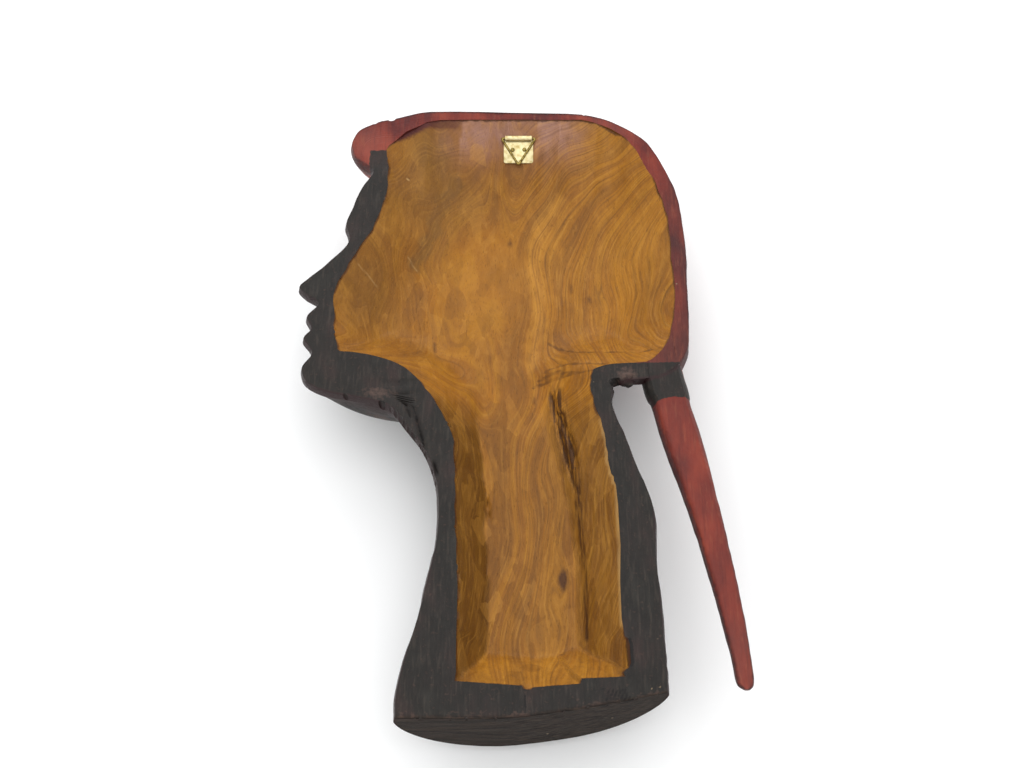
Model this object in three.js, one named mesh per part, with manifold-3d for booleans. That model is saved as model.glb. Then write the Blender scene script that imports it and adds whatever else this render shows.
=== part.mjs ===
// A wall mask: half of a carved wooden head in profile, with a long neck and a plait, hollowed at the back.
// A small brass hanger with a turning wire ring is nailed into the hollow.
//
// Millimetres. The flat back lies in the plane y = 0 and faces +Y, and the carved side faces -Y. +Z is up as
// the mask hangs, and the face looks to +X. The origin is on the plane of the back, level with the hinge.
import * as THREE from 'three';
import { mergeVertices } from 'three/addons/utils/BufferGeometryUtils.js';
import Module from 'manifold-3d';

const radians = THREE.MathUtils.degToRad;

// Driving dimensions: the block
const CROWN = 20.6; // top of the head
const FOOT = -400; // sawn end of the neck, under the throat
const FOOT_BACK = -385; // the same end at the back of the neck, where the cut rises
const FOOT_TURN = 12; // x where it starts to rise
const FOOT_CURVE = 1.4;
const LEVEL_ABOVE = -345; // loops above this height are level, and those below it lean with the cut
const NECK_BACK = -82.2; // back of the neck at the foot
const BACK_OF_HEAD = -109;
const NAPE = -190; // underside of the head, behind the neck
const RIM_WALL = 5; // height of the side wall that the carving rises from
const RIM_ROLL = 1.2; // how far that wall swells past the edge of the flat back

// Driving dimensions: the head and neck
const HEAD_DEPTH = 55; // from the top of the side wall to the temple
const NECK_DEPTH = 41;
const FOOT_DEPTH = 52;
const SKULL_ROUND = 100; // distance from the outline over which the head swells to its full depth
const NECK_ROUND = 56;
const FULLNESS = { near: 2.2, far: 1.7 }; // how steeply it swells at the outline and how flat it is inside
const NECK_START = { z: -175, blend: 50 }; // where the head's rounding begins to give way to the neck's
const THROAT = -208; // height where the jaw's line ends on the throat
const UNDER_JAW = { depth: 6, soft: 17, front: -262, frontBlend: 60, back: -34, backBlend: 30 };
const EDGE_FADE = 14; // relief dies out over this distance from the outline
const FACE_BLEND = 6; // softness of the step from the cheeks to the nose, lips and chin
const MIDLINE_FOOT = 0.6 * RIM_WALL; // depth at the outline of the rounding of the nose, lips and chin
const LEAST_DEPTH = 0.8 * RIM_WALL;

// Driving dimensions: the face, set out in equal thirds below the hairline and tilted back a little
const BRIM = { x: 98, z: -27 }; // where the hair meets the forehead
const FACE_TILT = radians(10.5);
const THIRD = 61;
const BROW = 0.8 * THIRD;
const EYE = 1.02 * THIRD;
const NOSE_TIP = 1.66 * THIRD;
const NOSE_BASE = 1.82 * THIRD;
const MOUTH = 2.13 * THIRD;
const CHIN = 2.6 * THIRD;
const NOSE_REACH = 25; // tip of the nose in front of the forehead line

// Driving dimensions: the ear and the hair
const EAR = { x: -20, z: -99, halfWidth: 17, halfHeight: 31, lean: radians(10), rise: 5, rim: 3.4 };
const HAIR_RISE = 5; // hair above the skin
const HAIR_STEP = 5; // width of the slope that it rises over
const LOCKS = 6; // swept-back locks between the outline and the hairline
const LOCK_GROOVE = 3.6;
const TUFT = { x: 99, z: -8.4, halfWidth: 14.4, halfHeight: 17, rise: 17 }; // roll of hair at the forehead

// Driving dimensions: the plait and its collar
const COLLAR_END = -200;
const PLAIT_TIP = { x: -124.6, z: -383 };
const PLAIT = { halfWidth: 12.4, halfDepth: 11, flatBack: 0.72, sides: 14 }; // as it leaves the collar
const PLAIT_LIFT = { rise: 2, blend: 120 }; // its back leaves the plane of the mask's back over this length

// Driving dimensions: the hollow
const HOLLOW_TOP = 13.6;
const HOLLOW_END = -379.5;
const HOLLOW_LIP = 1.2; // upright knife cut round the hollow's edge
const BOWL = { floor: 30, x: 2, z: -95, halfWidth: 100, halfHeight: 110, rise: 4 };
const TROUGH = { floor: 25.5, z: -165, blend: 60 }; // the bowl gives way to the trough below this height
const CUT_ABOVE = 9; // the cutting shape stands this far out of the flat back
const SEAT_SLOPE = radians(20); // slope of the upper wall, which the hanger lies on
const FRONT_SLOPE = { head: 0.85, neck: 1.5, z: -190, blend: 30 }; // rise over run behind the face
const BACK_SLOPE = { head: 0.72, neck: 1.08, z: -170, blend: 16 }; // and of the wall behind the hair
const END_SLOPE = 1;
const WALL_BLEND = { head: 7.5, neck: 2.5, z: -155, blend: 50 }; // softness of the corner at the walls' feet

// Driving dimensions: the hanger
const PLATE = { width: 20, height: 17, top: 0.6, thickness: 0.8, corner: 1.5 }; // top: under the knuckle
const KNUCKLE = { radius: 1.9, bore: 1.15, width: 18 };
const RING = { width: 24, height: 19, wire: 0.8, corner: 2.4 }; // wire is the wire's radius
const NAIL = { x: 4, drop: 7.6, headRadius: 1.4, headHeight: 0.7, shank: 0.65, length: 7, hole: 1 };
const GAP = 0.3; // left between pieces that touch

const wasm = await Module();
wasm.setup();

// Smooth steps and blends
const clamp01 = (t) => Math.min(Math.max(t, 0), 1);
const smooth = (t) => clamp01(t) ** 2 * (3 - 2 * clamp01(t));
const softMax = (a, b, width) => {
  const share = clamp01(0.5 + (a - b) / (2 * width));
  return b + (a - b) * share + width * share * (1 - share);
};
const softMin = (a, b, width) => -softMax(-a, -b, width);

// 1 at the middle of an oval and 0 from its edge outwards
const mound = (du, dv, halfU, halfV) => smooth(1 - Math.hypot(du / halfU, dv / halfV));

// A smooth line through a few points, as many short steps
function lineThrough(points, steps = 200) {
  const corners = points.map(([a, b]) => new THREE.Vector3(a, b, 0));
  const curve = new THREE.CatmullRomCurve3(corners, false, 'centripetal');
  return curve.getPoints(steps).map((p) => [p.x, p.y]);
}

// For a line of [value, height] pairs that runs down from its first pair: its value at a height
function valueAt(line, height) {
  for (let i = 1; i < line.length; i++) {
    const [value0, height0] = line[i - 1];
    const [value1, height1] = line[i];
    const share = clamp01((height0 - height) / (height0 - height1));
    if (height >= height1) return value0 + (value1 - value0) * share;
  }
  return line[line.length - 1][0];
}

function distanceTo(line, x, z) {
  let nearest = Infinity;
  for (let i = 1; i < line.length; i++) {
    const [x0, z0] = line[i - 1];
    const [dx, dz] = [line[i][0] - x0, line[i][1] - z0];
    const t = clamp01(((x - x0) * dx + (z - z0) * dz) / (dx * dx + dz * dz));
    nearest = Math.min(nearest, Math.hypot(x - x0 - dx * t, z - z0 - dz * t));
  }
  return nearest;
}

// The face's own directions: down from the brim, and forward of the forehead line
const facePoint = (down, forward) => [
  BRIM.x + down * Math.sin(FACE_TILT) + forward * Math.cos(FACE_TILT),
  BRIM.z - down * Math.cos(FACE_TILT) + forward * Math.sin(FACE_TILT),
];
const faceHeight = (down) => facePoint(down, 0)[1];
const faceDown = (x, z) => (x - BRIM.x) * Math.sin(FACE_TILT) - (z - BRIM.z) * Math.cos(FACE_TILT);
const faceForward = (x, z) => (x - BRIM.x) * Math.cos(FACE_TILT) + (z - BRIM.z) * Math.sin(FACE_TILT);

// Outline of the block: a front edge and a back edge, each from the crown down to the foot
const tuftArc = [70, 40, 0, -40].map((degrees) => [
  TUFT.x + TUFT.halfWidth * Math.cos(radians(degrees)),
  TUFT.z + TUFT.halfHeight * Math.sin(radians(degrees)),
]);
const frontEdge = lineThrough([
  [48, CROWN], [60, 20.4], [70, 19], [80, 16], [86, 13.8], [94, 12.6], ...tuftArc,
  facePoint(0.04 * THIRD, 0), facePoint(0.3 * THIRD, 4), facePoint(0.56 * THIRD, 6), facePoint(BROW, 7),
  facePoint(0.99 * THIRD, 2), facePoint(1.3 * THIRD, 11), facePoint(1.56 * THIRD, 22),
  facePoint(NOSE_TIP, NOSE_REACH), facePoint(1.75 * THIRD, 19), facePoint(NOSE_BASE, 10),
  facePoint(2 * THIRD, 14.5), facePoint(MOUTH, 9.5), facePoint(2.25 * THIRD, 12.5),
  facePoint(2.4 * THIRD, 5), facePoint(CHIN, 8.5), facePoint(2.74 * THIRD, 4),
  [122, -197], [100, -202], [80, -208], [69, -221], [59, -235], [52.2, -251], [48.9, -268], [49.6, -296],
  [54.8, -325], [60.6, -348], [66, -370], [69.4, -388], [69.2, FOOT],
], 500);
const backEdge = lineThrough([
  [48, CROWN], [26, 20.3], [4, 19.4], [-34, 18.6], [-46, 17.4], [-60, 14], [-71, 8], [-80, 1.6],
  [-87.8, -6], [-93.4, -16], [-99.8, -31], [-104.8, -47], [-107.6, -66], [BACK_OF_HEAD, -100], [-107.8, -135],
  [-106.8, -164], [-103.4, -173], [-98.5, -180], [-86, -187.5], [-68, NAPE], [-60, -192.5], [-57.9, -198],
  [-58.8, -212], [-64, -227], [-70, -244], [-76.1, -262], [-79.3, -278], [-79.9, -308], [-81.2, -343],
  [NECK_BACK, -374], [NECK_BACK, FOOT],
], 500);
const outline = [...frontEdge].reverse().concat(backEdge.slice(1)).filter((point, i) => i % 6 === 0);

// The line that the broad side of the face swells from, which leaves out the nose, lips and chin
const cheekEdge = lineThrough([
  [97, BRIM.z], facePoint(0.5 * THIRD, 0), facePoint(BROW, 2), facePoint(EYE, -8), facePoint(1.4 * THIRD, -7),
  facePoint(NOSE_BASE, -6), facePoint(MOUTH, -1), facePoint(CHIN, 3), [120, -195], [98, -202], [80, -208],
]);

// Half the thickness of what stands in front of the cheeks, by height: forehead, nose, lips, chin and throat
const midlineHalf = lineThrough([
  [RIM_WALL, TUFT.z], [15, faceHeight(0.2 * THIRD)], [15, faceHeight(0.6 * THIRD)], [12, faceHeight(BROW)],
  [7.5, faceHeight(EYE)], [8.5, faceHeight(1.35 * THIRD)], [12.5, faceHeight(NOSE_TIP)],
  [13, faceHeight(1.76 * THIRD)], [9, faceHeight(1.84 * THIRD)], [15, faceHeight(2.02 * THIRD)],
  [12, faceHeight(MOUTH)], [14, faceHeight(2.26 * THIRD)], [12, faceHeight(2.4 * THIRD)],
  [17, faceHeight(CHIN)], [13, -196], [11, -203], [RIM_WALL, -235],
]);

// Full depth of the broad side, by height
const broadDepth = lineThrough([
  [3, CROWN], [13, 17], [24, 8.5], [33, 0], [43, -15], [50, -34], [HEAD_DEPTH, -62], [HEAD_DEPTH + 1.5, -100],
  [HEAD_DEPTH, -140], [51, -168], [46, -196], [NECK_DEPTH + 1, -230], [NECK_DEPTH, -290], [46, -350],
  [FOOT_DEPTH, FOOT],
]);

// The hairline runs from the brim over the ear to the nape, as [height, x]; the jaw's lower edge likewise
const hairline = lineThrough([
  [BRIM.z, 100], [-31, 78], [-43, 58], [-58, 40], [-63, 22], [-59, -2], [-63, -24], [-82, -42], [-110, -52],
  [-142, -60], [-172, -74], [-190, -88],
]);
const hairlineLine = hairline.map(([z, x]) => [x, z]).filter((point, i) => i % 5 === 0);
const jawEdge = lineThrough([[-199, 124], [-192, 84], [-178, 40], [-158, -2], [-150, -46]]);

// Skin, as a depth added to the broad side of the head
function faceRelief(x, z) {
  const down = faceDown(x, z);
  const forward = faceForward(x, z);
  let rise = 0;
  rise += 3.5 * mound(down - BROW + 3, forward + 20, 9, 30); // brow
  rise -= 11 * mound(down - EYE - 1, forward + 19, 17, 21); // eye socket
  rise += 9 * mound(down - EYE - 2, forward + 19, 12, 16); // eyeball under its closed lid
  rise -= 1.5 * mound(down - EYE - 8, forward + 19, 4, 15); // line under the lashes
  rise += 5 * mound(down - 1.42 * THIRD, forward + 42, 24, 34); // cheekbone
  rise += 6 * mound(down - 1.7 * THIRD, forward - 3, 10, 12); // wing of the nose
  rise += 4 * mound(down - 2.02 * THIRD, forward + 2, 7, 18); // upper lip
  rise += 4 * mound(down - 2.25 * THIRD, forward + 2, 7, 17); // lower lip
  rise -= 3 * mound(down - MOUTH, forward + 12, 6, 9); // corner of the mouth
  rise += 4 * mound(down - CHIN, forward + 8, 14, 16); // chin
  return rise;
}

// The ear's low shell; makeEarRim adds the rolled edge round it
function earRelief(x, z) {
  const across = (x - EAR.x) * Math.cos(EAR.lean) + (z - EAR.z) * Math.sin(EAR.lean);
  const along = (z - EAR.z) * Math.cos(EAR.lean) - (x - EAR.x) * Math.sin(EAR.lean);
  const reach = Math.hypot(across / EAR.halfWidth, along / EAR.halfHeight);
  const bowl = mound(across - 1, along - 4, EAR.halfWidth, EAR.halfHeight * 0.9);
  return EAR.rise * (smooth((1.3 - reach) / 0.5) - bowl);
}

const hairShare = (x, z) => {
  const toOutline = distanceTo(outline, x, z);
  return toOutline / (toOutline + distanceTo(hairlineLine, x, z));
};
function hairRelief(x, z) {
  const inside = smooth((z - valueAt(hairline, x) + 1) / HAIR_STEP);
  if (inside === 0) return 0;
  const groove = Math.abs(Math.sin(Math.PI * LOCKS * hairShare(x, z)));
  return inside * (HAIR_RISE - LOCK_GROOVE * (1 - groove));
}

// How far the carved side stands in front of the flat back
function carvedDepth(x, z) {
  const front = valueAt(frontEdge, z);
  const back = valueAt(backEdge, z);
  const cheek = z < BRIM.z && z > THROAT ? Math.min(valueAt(cheekEdge, z), front) : front;
  const neckShare = smooth((NECK_START.z - z) / NECK_START.blend);
  const round = SKULL_ROUND + (NECK_ROUND - SKULL_ROUND) * neckShare;
  const swell = (distance) => (1 - (1 - clamp01(distance / round)) ** FULLNESS.near) ** (1 / FULLNESS.far);
  const broad = RIM_WALL + valueAt(broadDepth, z) * swell(cheek - x) * swell(x - back);

  const half = Math.max(valueAt(midlineHalf, z), RIM_WALL);
  const inward = clamp01((front - x) / half);
  const midline = MIDLINE_FOOT + (half - MIDLINE_FOOT) * Math.sqrt(1 - (1 - inward) ** 2);

  const underJaw = smooth((valueAt(jawEdge, x) - z) / UNDER_JAW.soft)
    * smooth((z - UNDER_JAW.front) / UNDER_JAW.frontBlend)
    * smooth((x - UNDER_JAW.back) / UNDER_JAW.backBlend);
  const nearEdge = smooth(Math.min(front - x, x - back) / EDGE_FADE);
  const fromTuft = Math.hypot((x - TUFT.x) / TUFT.halfWidth, (z - TUFT.z) / TUFT.halfHeight);
  const tuft = TUFT.rise * Math.sqrt(Math.max(0, 1 - fromTuft ** 2));
  let depth = softMax(broad, midline, FACE_BLEND);
  depth += faceRelief(x, z) + nearEdge * (earRelief(x, z) + hairRelief(x, z) - UNDER_JAW.depth * underJaw);
  return Math.max(softMax(depth, RIM_WALL + tuft, 2), LEAST_DEPTH);
}

// A manifold-3d solid from a closed three.js geometry
function solidFrom(geometry) {
  const bare = geometry.clone();
  bare.deleteAttribute('normal');
  bare.deleteAttribute('uv');
  const merged = mergeVertices(bare, 1e-4);
  return new wasm.Manifold(new wasm.Mesh({
    numProp: 3,
    vertProperties: new Float32Array(merged.attributes.position.array),
    triVerts: new Uint32Array(merged.index.array),
  }));
}

function geometryFrom(solid) {
  const mesh = solid.getMesh();
  const indexed = new THREE.BufferGeometry();
  indexed.setAttribute('position', new THREE.BufferAttribute(new Float32Array(mesh.vertProperties), 3));
  indexed.setIndex(new THREE.BufferAttribute(new Uint32Array(mesh.triVerts), 1));
  const geometry = indexed.toNonIndexed();
  geometry.computeVertexNormals();
  return geometry;
}

// A closed geometry from a stack of closed loops with the same number of points, each loop drawn in x and y
function stackOfLoops(loops) {
  const count = loops[0].length;
  const positions = loops.flat().flatMap((p) => [p.x, p.y, p.z]);
  const faces = [];
  for (let row = 0; row + 1 < loops.length; row++) {
    for (let i = 0; i < count; i++) {
      const next = (i + 1) % count;
      const [a, b] = [row * count + i, row * count + next];
      const [c, d] = [a + count, b + count];
      const [upper, lower] = [loops[row], loops[row + 1]];
      if (upper[i].distanceTo(lower[next]) < upper[next].distanceTo(lower[i])) faces.push(a, b, d, a, d, c);
      else faces.push(a, b, c, b, d, c);
    }
  }
  const flat = (loop) => loop.map((p) => new THREE.Vector2(p.x, p.y));
  const clockwise = THREE.ShapeUtils.isClockWise(flat(loops[0]));
  const last = (loops.length - 1) * count;
  for (const [a, b, c] of THREE.ShapeUtils.triangulateShape(flat(loops[0]), [])) {
    if (clockwise) faces.push(a, b, c);
    else faces.push(a, c, b);
  }
  for (const [a, b, c] of THREE.ShapeUtils.triangulateShape(flat(loops[loops.length - 1]), [])) {
    if (clockwise) faces.push(last + a, last + c, last + b);
    else faces.push(last + a, last + b, last + c);
  }
  const geometry = new THREE.BufferGeometry();
  geometry.setAttribute('position', new THREE.Float32BufferAttribute(positions, 3));
  geometry.setIndex(faces);
  return geometry;
}

// Heights of a stack's loops, from the top down, with the spacing asked for in each band of [lowest, spacing]
function heightsThrough(top, bands) {
  const heights = [top];
  for (const [lowest, spacing] of bands) {
    const start = heights[heights.length - 1];
    const steps = Math.max(1, Math.round((start - lowest) / spacing));
    for (let i = 1; i <= steps; i++) heights.push(start + ((lowest - start) * i) / steps);
  }
  return heights;
}

// Shares of a width, closer together near both ends
const sharesAcross = (count, lean) => Array.from({ length: count + 1 }, (unused, i) => (
  (1 - Math.cos(Math.PI * (i / count) ** lean)) / 2
));

// The foot is sawn square under the throat and rises in a gentle curve towards the back of the neck
function toFoot(x, height) {
  if (height > LEVEL_ABOVE) return height;
  const cut = FOOT + (FOOT_BACK - FOOT) * clamp01((FOOT_TURN - x) / (FOOT_TURN - NECK_BACK)) ** FOOT_CURVE;
  return LEVEL_ABOVE + (cut - LEVEL_ABOVE) * ((LEVEL_ABOVE - height) / (LEVEL_ABOVE - FOOT));
}

function makeBlock() {
  const heights = heightsThrough(CROWN - 0.3, [
    [15, 1.8], [0, 3.8], [-27, 4.5], [-70, 5], [-96, 4.4], [-205, 4.2], [-260, 8.5], [FOOT, 16],
  ]);
  const shares = sharesAcross(41, 1.06);
  return stackOfLoops(heights.map((height) => {
    const front = valueAt(frontEdge, height);
    const back = valueAt(backEdge, height);
    const roll = Math.min(RIM_ROLL, (front - back) / 8);
    const across = shares.map((share) => {
      const x = front + (back - front) * share;
      return new THREE.Vector3(x, -carvedDepth(x, height), toFoot(x, height));
    });
    return [
      new THREE.Vector3(front - roll, 0, toFoot(front - roll, height)),
      ...across,
      new THREE.Vector3(back + roll, 0, toFoot(back + roll, height)),
    ];
  }));
}

// The rolled rim of the ear, from where it leaves the cheek, over the top and down the back to the lobe
function makeEarRim() {
  const rim = [
    [0.3, -0.12, -4], [0.66, 0.1, 0], [0.78, 0.55, 0], [0.42, 0.93, 0], [-0.25, 0.98, 0], [-0.85, 0.6, 0],
    [-1, 0, 0], [-0.75, -0.5, 0], [-0.35, -0.86, 0.4], [0.1, -1.02, 0.4], [0.5, -0.8, 0], [0.62, -0.5, -4],
  ];
  const path = new THREE.CatmullRomCurve3(rim.map(([across, along, lift]) => {
    const [u, v] = [across * EAR.halfWidth, along * EAR.halfHeight];
    const x = EAR.x + u * Math.cos(EAR.lean) - v * Math.sin(EAR.lean);
    const z = EAR.z + v * Math.cos(EAR.lean) + u * Math.sin(EAR.lean);
    return new THREE.Vector3(x, -carvedDepth(x, z) - lift, z);
  }));
  const sides = 6;
  const section = new THREE.Shape(Array.from({ length: sides }, (unused, i) => {
    const turn = (2 * Math.PI * i) / sides;
    return new THREE.Vector2(EAR.rim * Math.cos(turn), EAR.rim * Math.sin(turn));
  }));
  return new THREE.ExtrudeGeometry(section, { steps: 24, extrudePath: path, bevelEnabled: false });
}

// The black collar and the red plait below it, a tapering rod a little flattened towards the back
function makePlait() {
  const middle = lineThrough([
    [-89, -160], [-88.6, -182], [-91.6, -198], [-97, -222], [-103.8, -252], [-110.7, -284], [-118.9, -331],
    [-123.4, -366], [PLAIT_TIP.x, PLAIT_TIP.z],
  ]);
  const halfWidth = lineThrough([
    [10, -160], [13, -180], [13.4, COLLAR_END + 1], [12.5, COLLAR_END - 1.5], [12.4, -225], [11.3, -252],
    [9.3, -284], [7.5, -331], [5.6, -366], [5, -376], [1.8, PLAIT_TIP.z],
  ]);
  const heights = heightsThrough(-166, [
    [-180, 7], [COLLAR_END + 1, 6.5], [COLLAR_END - 1.5, 2.5], [-366, 14], [PLAIT_TIP.z, 4],
  ]);
  return stackOfLoops(heights.map((height) => {
    const half = valueAt(halfWidth, height);
    const depth = (PLAIT.halfDepth * half) / PLAIT.halfWidth;
    const behind = -PLAIT_LIFT.rise * smooth((COLLAR_END - height) / PLAIT_LIFT.blend);
    return Array.from({ length: PLAIT.sides }, (unused, i) => {
      const turn = (2 * Math.PI * (i + 0.5)) / PLAIT.sides;
      const backward = Math.min(Math.cos(turn), PLAIT.flatBack); // the side towards the wall is flat
      const x = valueAt(middle, height) + half * Math.sin(turn);
      return new THREE.Vector3(x, behind + depth * (backward - PLAIT.flatBack), height);
    });
  }));
}

// The hollow's edges, which its sloping walls start from
const hollowFront = lineThrough([
  [88.6, -11], [87, -38], [90, -62], [97, -80], [109, -104], [115.5, -120], [117, -135], [115.5, -151],
  [113, -166], [112, -169], [104, -169.8], [86, -173.8], [70.3, -181], [58.9, -193.6], [49.9, -207.5],
  [41.7, -223], [38.9, -244], [38.2, -264], [36.8, -290], [36, -338], [35.9, HOLLOW_END],
], 300);
const hollowTop = [
  [-42, HOLLOW_TOP], [15, HOLLOW_TOP], [53, 13.2], [62, 11.4], [68.5, 7.4], [76, 3], [82.4, -3.8],
  [88.6, -11],
];
const hollowBack = lineThrough([
  [-42, HOLLOW_TOP], [-55.5, 9.2], [-66, 3.2], [-75.3, -5.6], [-82, -17], [-91.6, -42], [-97, -66],
  [-98.4, -94], [-98.8, -125], [-95.5, -154], [-91.3, -164.5], [-86.6, -171], [-80, -176.3], [-56, -178.8],
  [-46.5, -182], [-44, -190], [-45.4, -204.7], [-50.3, -223], [-52.8, -238], [-56.3, -257.6], [-57.7, -284.5],
  [-58.2, -347], [-57.6, HOLLOW_END],
], 300);
const hollowEnd = [[40, HOLLOW_END], [-64, HOLLOW_END]];
const sparse = (line) => line.filter((point, i) => i % 8 === 0 || i === line.length - 1);
const hollowOutline = sparse(hollowFront).concat(sparse(hollowBack).reverse(), hollowTop.slice(1, -1));
const hollowBrimZ = hollowTop[hollowTop.length - 1][1];
const topInside = (x, z) => z < hollowBrimZ || (z < HOLLOW_TOP && x < valueAt(hollowTop.slice(1), z));
const along = ({ head, neck, z, blend }, height) => head + (neck - head) * smooth((z - height) / blend);
const hollowWalls = [
  { edge: hollowTop, inside: topInside, slope: () => Math.tan(SEAT_SLOPE) },
  {
    edge: sparse(hollowFront),
    inside: (x, z) => x < valueAt(hollowFront, z),
    slope: (z) => along(FRONT_SLOPE, z),
  },
  {
    edge: sparse(hollowBack),
    inside: (x, z) => x > valueAt(hollowBack, z),
    slope: (z) => along(BACK_SLOPE, z),
  },
  { edge: hollowEnd, inside: (x, z) => z > HOLLOW_END, slope: () => END_SLOPE },
];

// Depth of the hollow below the flat back; its walls run on rising past its edges
function hollowDepth(x, z) {
  const fromMiddle = Math.hypot((x - BOWL.x) / BOWL.halfWidth, (z - BOWL.z) / BOWL.halfHeight);
  let depth = softMax(BOWL.floor - BOWL.rise * fromMiddle ** 2, TROUGH.floor, 3);
  depth += (TROUGH.floor - depth) * smooth((TROUGH.z - z) / TROUGH.blend);
  const blend = along(WALL_BLEND, z);
  for (const { edge, inside, slope } of hollowWalls) {
    const distance = distanceTo(edge, x, z) * (inside(x, z) ? 1 : -1);
    depth = softMin(depth, slope(z) * distance, Math.min(blend, 1 + Math.max(0, distance)));
  }
  return HOLLOW_LIP + depth;
}

// The cutting shape for the hollow: a relief under a level top, trimmed to the hollow's outline
function makeHollow() {
  const heights = heightsThrough(HOLLOW_TOP + 6, [
    [-20, 5.4], [-140, 15], [-205, 6.5], [-350, 24], [HOLLOW_END - 8, 6.5],
  ]);
  const columns = heightsThrough(120, [[84, 6], [32, 8], [-36, 11.5], [-64, 5.6], [-106, 7]]);
  const relief = stackOfLoops(heights.map((height) => {
    const across = columns.map((x) => (
      new THREE.Vector3(x, Math.min(-hollowDepth(x, height), CUT_ABOVE - 1), height)
    ));
    return [
      new THREE.Vector3(columns[0], CUT_ABOVE, height),
      ...across,
      new THREE.Vector3(columns[columns.length - 1], CUT_ABOVE, height),
    ];
  }));
  const trim = new THREE.ExtrudeGeometry(
    new THREE.Shape(hollowOutline.map(([x, z]) => new THREE.Vector2(x, z))),
    { depth: 2 * BOWL.floor, bevelEnabled: false },
  );
  trim.rotateX(Math.PI / 2).translate(0, CUT_ABOVE - 2, 0);
  return solidFrom(relief).intersect(solidFrom(trim));
}

// The hanger is made with its hinge along x at its own origin, its plate hanging down and its back to -Y
const hinge = new THREE.Group();
const seatDepth = HOLLOW_LIP + HOLLOW_TOP * Math.tan(SEAT_SLOPE); // depth of the wood behind the hinge
const hingeRise = KNUCKLE.radius + GAP; // hinge above the sloping wood
hinge.position.set(0, -seatDepth + hingeRise / Math.cos(SEAT_SLOPE), 0);
hinge.rotation.x = -SEAT_SLOPE;
hinge.updateMatrixWorld(true);
const seatY = -hingeRise + GAP; // back of the plate, in the hanger's own directions

const barrel = (radius, length, sides) => new THREE.CylinderGeometry(radius, radius, length, sides);
const alongX = (geometry) => geometry.rotateZ(Math.PI / 2);

function makePlate() {
  const half = PLATE.width / 2;
  const face = new THREE.Shape([
    [-half, PLATE.top], [half, PLATE.top],
    [half, PLATE.corner - PLATE.height], [half - PLATE.corner, -PLATE.height],
    [PLATE.corner - half, -PLATE.height], [-half, PLATE.corner - PLATE.height],
  ].map(([x, z]) => new THREE.Vector2(x, z)));
  const sheet = new THREE.ExtrudeGeometry(face, { depth: PLATE.thickness, bevelEnabled: false });
  sheet.rotateX(Math.PI / 2).translate(0, seatY + PLATE.thickness, 0);
  let solid = solidFrom(sheet).add(solidFrom(alongX(barrel(KNUCKLE.radius, KNUCKLE.width, 16))));
  solid = solid.subtract(solidFrom(alongX(barrel(KNUCKLE.bore, KNUCKLE.width + 2, 12))));
  for (const side of [-1, 1]) {
    const hole = barrel(NAIL.hole, 6, 8).translate(side * NAIL.x, seatY, -NAIL.drop);
    solid = solid.subtract(solidFrom(hole));
  }
  return geometryFrom(solid);
}

// A closed triangle of wire, its top side in the knuckle and its point hanging down in front of the plate
function makeRing() {
  const half = RING.width / 2 - RING.wire;
  const point = new THREE.Vector2(0, RING.wire - RING.height);
  const corners = [new THREE.Vector2(half, 0), new THREE.Vector2(-half, 0), point];
  const path = [];
  corners.forEach((corner, i) => {
    const before = corners[(i + 2) % 3].clone().sub(corner).normalize();
    const after = corners[(i + 1) % 3].clone().sub(corner).normalize();
    const bend = new THREE.QuadraticBezierCurve(
      corner.clone().addScaledVector(before, RING.corner),
      corner,
      corner.clone().addScaledVector(after, RING.corner),
    );
    path.push(...bend.getPoints(4));
  });
  const sides = 8;
  const positions = [];
  path.forEach((centre, i) => {
    const next = path[(i + 1) % path.length];
    const last = path[(i + path.length - 1) % path.length];
    const outward = next.clone().sub(last).normalize().rotateAround(new THREE.Vector2(), Math.PI / 2);
    for (let k = 0; k < sides; k++) {
      const turn = (2 * Math.PI * k) / sides;
      const reach = RING.wire * Math.cos(turn);
      positions.push(centre.x + outward.x * reach, RING.wire * Math.sin(turn), centre.y + outward.y * reach);
    }
  });
  const faces = [];
  for (let i = 0; i < path.length; i++) {
    for (let k = 0; k < sides; k++) {
      const a = i * sides + k;
      const b = i * sides + ((k + 1) % sides);
      const c = ((i + 1) % path.length) * sides + k;
      const d = ((i + 1) % path.length) * sides + ((k + 1) % sides);
      faces.push(a, c, b, b, c, d);
    }
  }
  const geometry = new THREE.BufferGeometry();
  geometry.setAttribute('position', new THREE.Float32BufferAttribute(positions, 3));
  geometry.setIndex(faces);
  return geometry;
}

// A round-headed nail, its head on the plate and its point in the wood
function makeNail() {
  const headBottom = seatY + PLATE.thickness + GAP / 2;
  const points = [
    [0, headBottom - NAIL.length], [NAIL.shank, headBottom - NAIL.length + 1.6], [NAIL.shank, headBottom],
    [NAIL.headRadius, headBottom], [NAIL.headRadius * 0.92, headBottom + NAIL.headHeight * 0.55],
    [NAIL.headRadius * 0.5, headBottom + NAIL.headHeight * 0.92], [0, headBottom + NAIL.headHeight],
  ].map(([radius, y]) => new THREE.Vector2(radius, y));
  return new THREE.LatheGeometry(points, 8);
}

// Holes that the nails were driven into, through the sloping wood
function nailHoles() {
  return [-1, 1].map((side) => {
    const hole = barrel(NAIL.hole, 2 * NAIL.length + 1, 8).translate(side * NAIL.x, seatY, -NAIL.drop);
    return solidFrom(hole.applyMatrix4(hinge.matrixWorld));
  });
}

function makeBody() {
  let solid = solidFrom(makeBlock()).add(solidFrom(makePlait())).add(solidFrom(makeEarRim()));
  solid = solid.subtract(makeHollow());
  for (const hole of nailHoles()) solid = solid.subtract(hole);
  return geometryFrom(solid);
}

const paintedWood = new THREE.MeshStandardMaterial({ color: 0x6b4a34, roughness: 0.6, flatShading: true });
const brass = new THREE.MeshStandardMaterial({ color: 0xd9c98f, roughness: 0.35, metalness: 1 });

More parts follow.
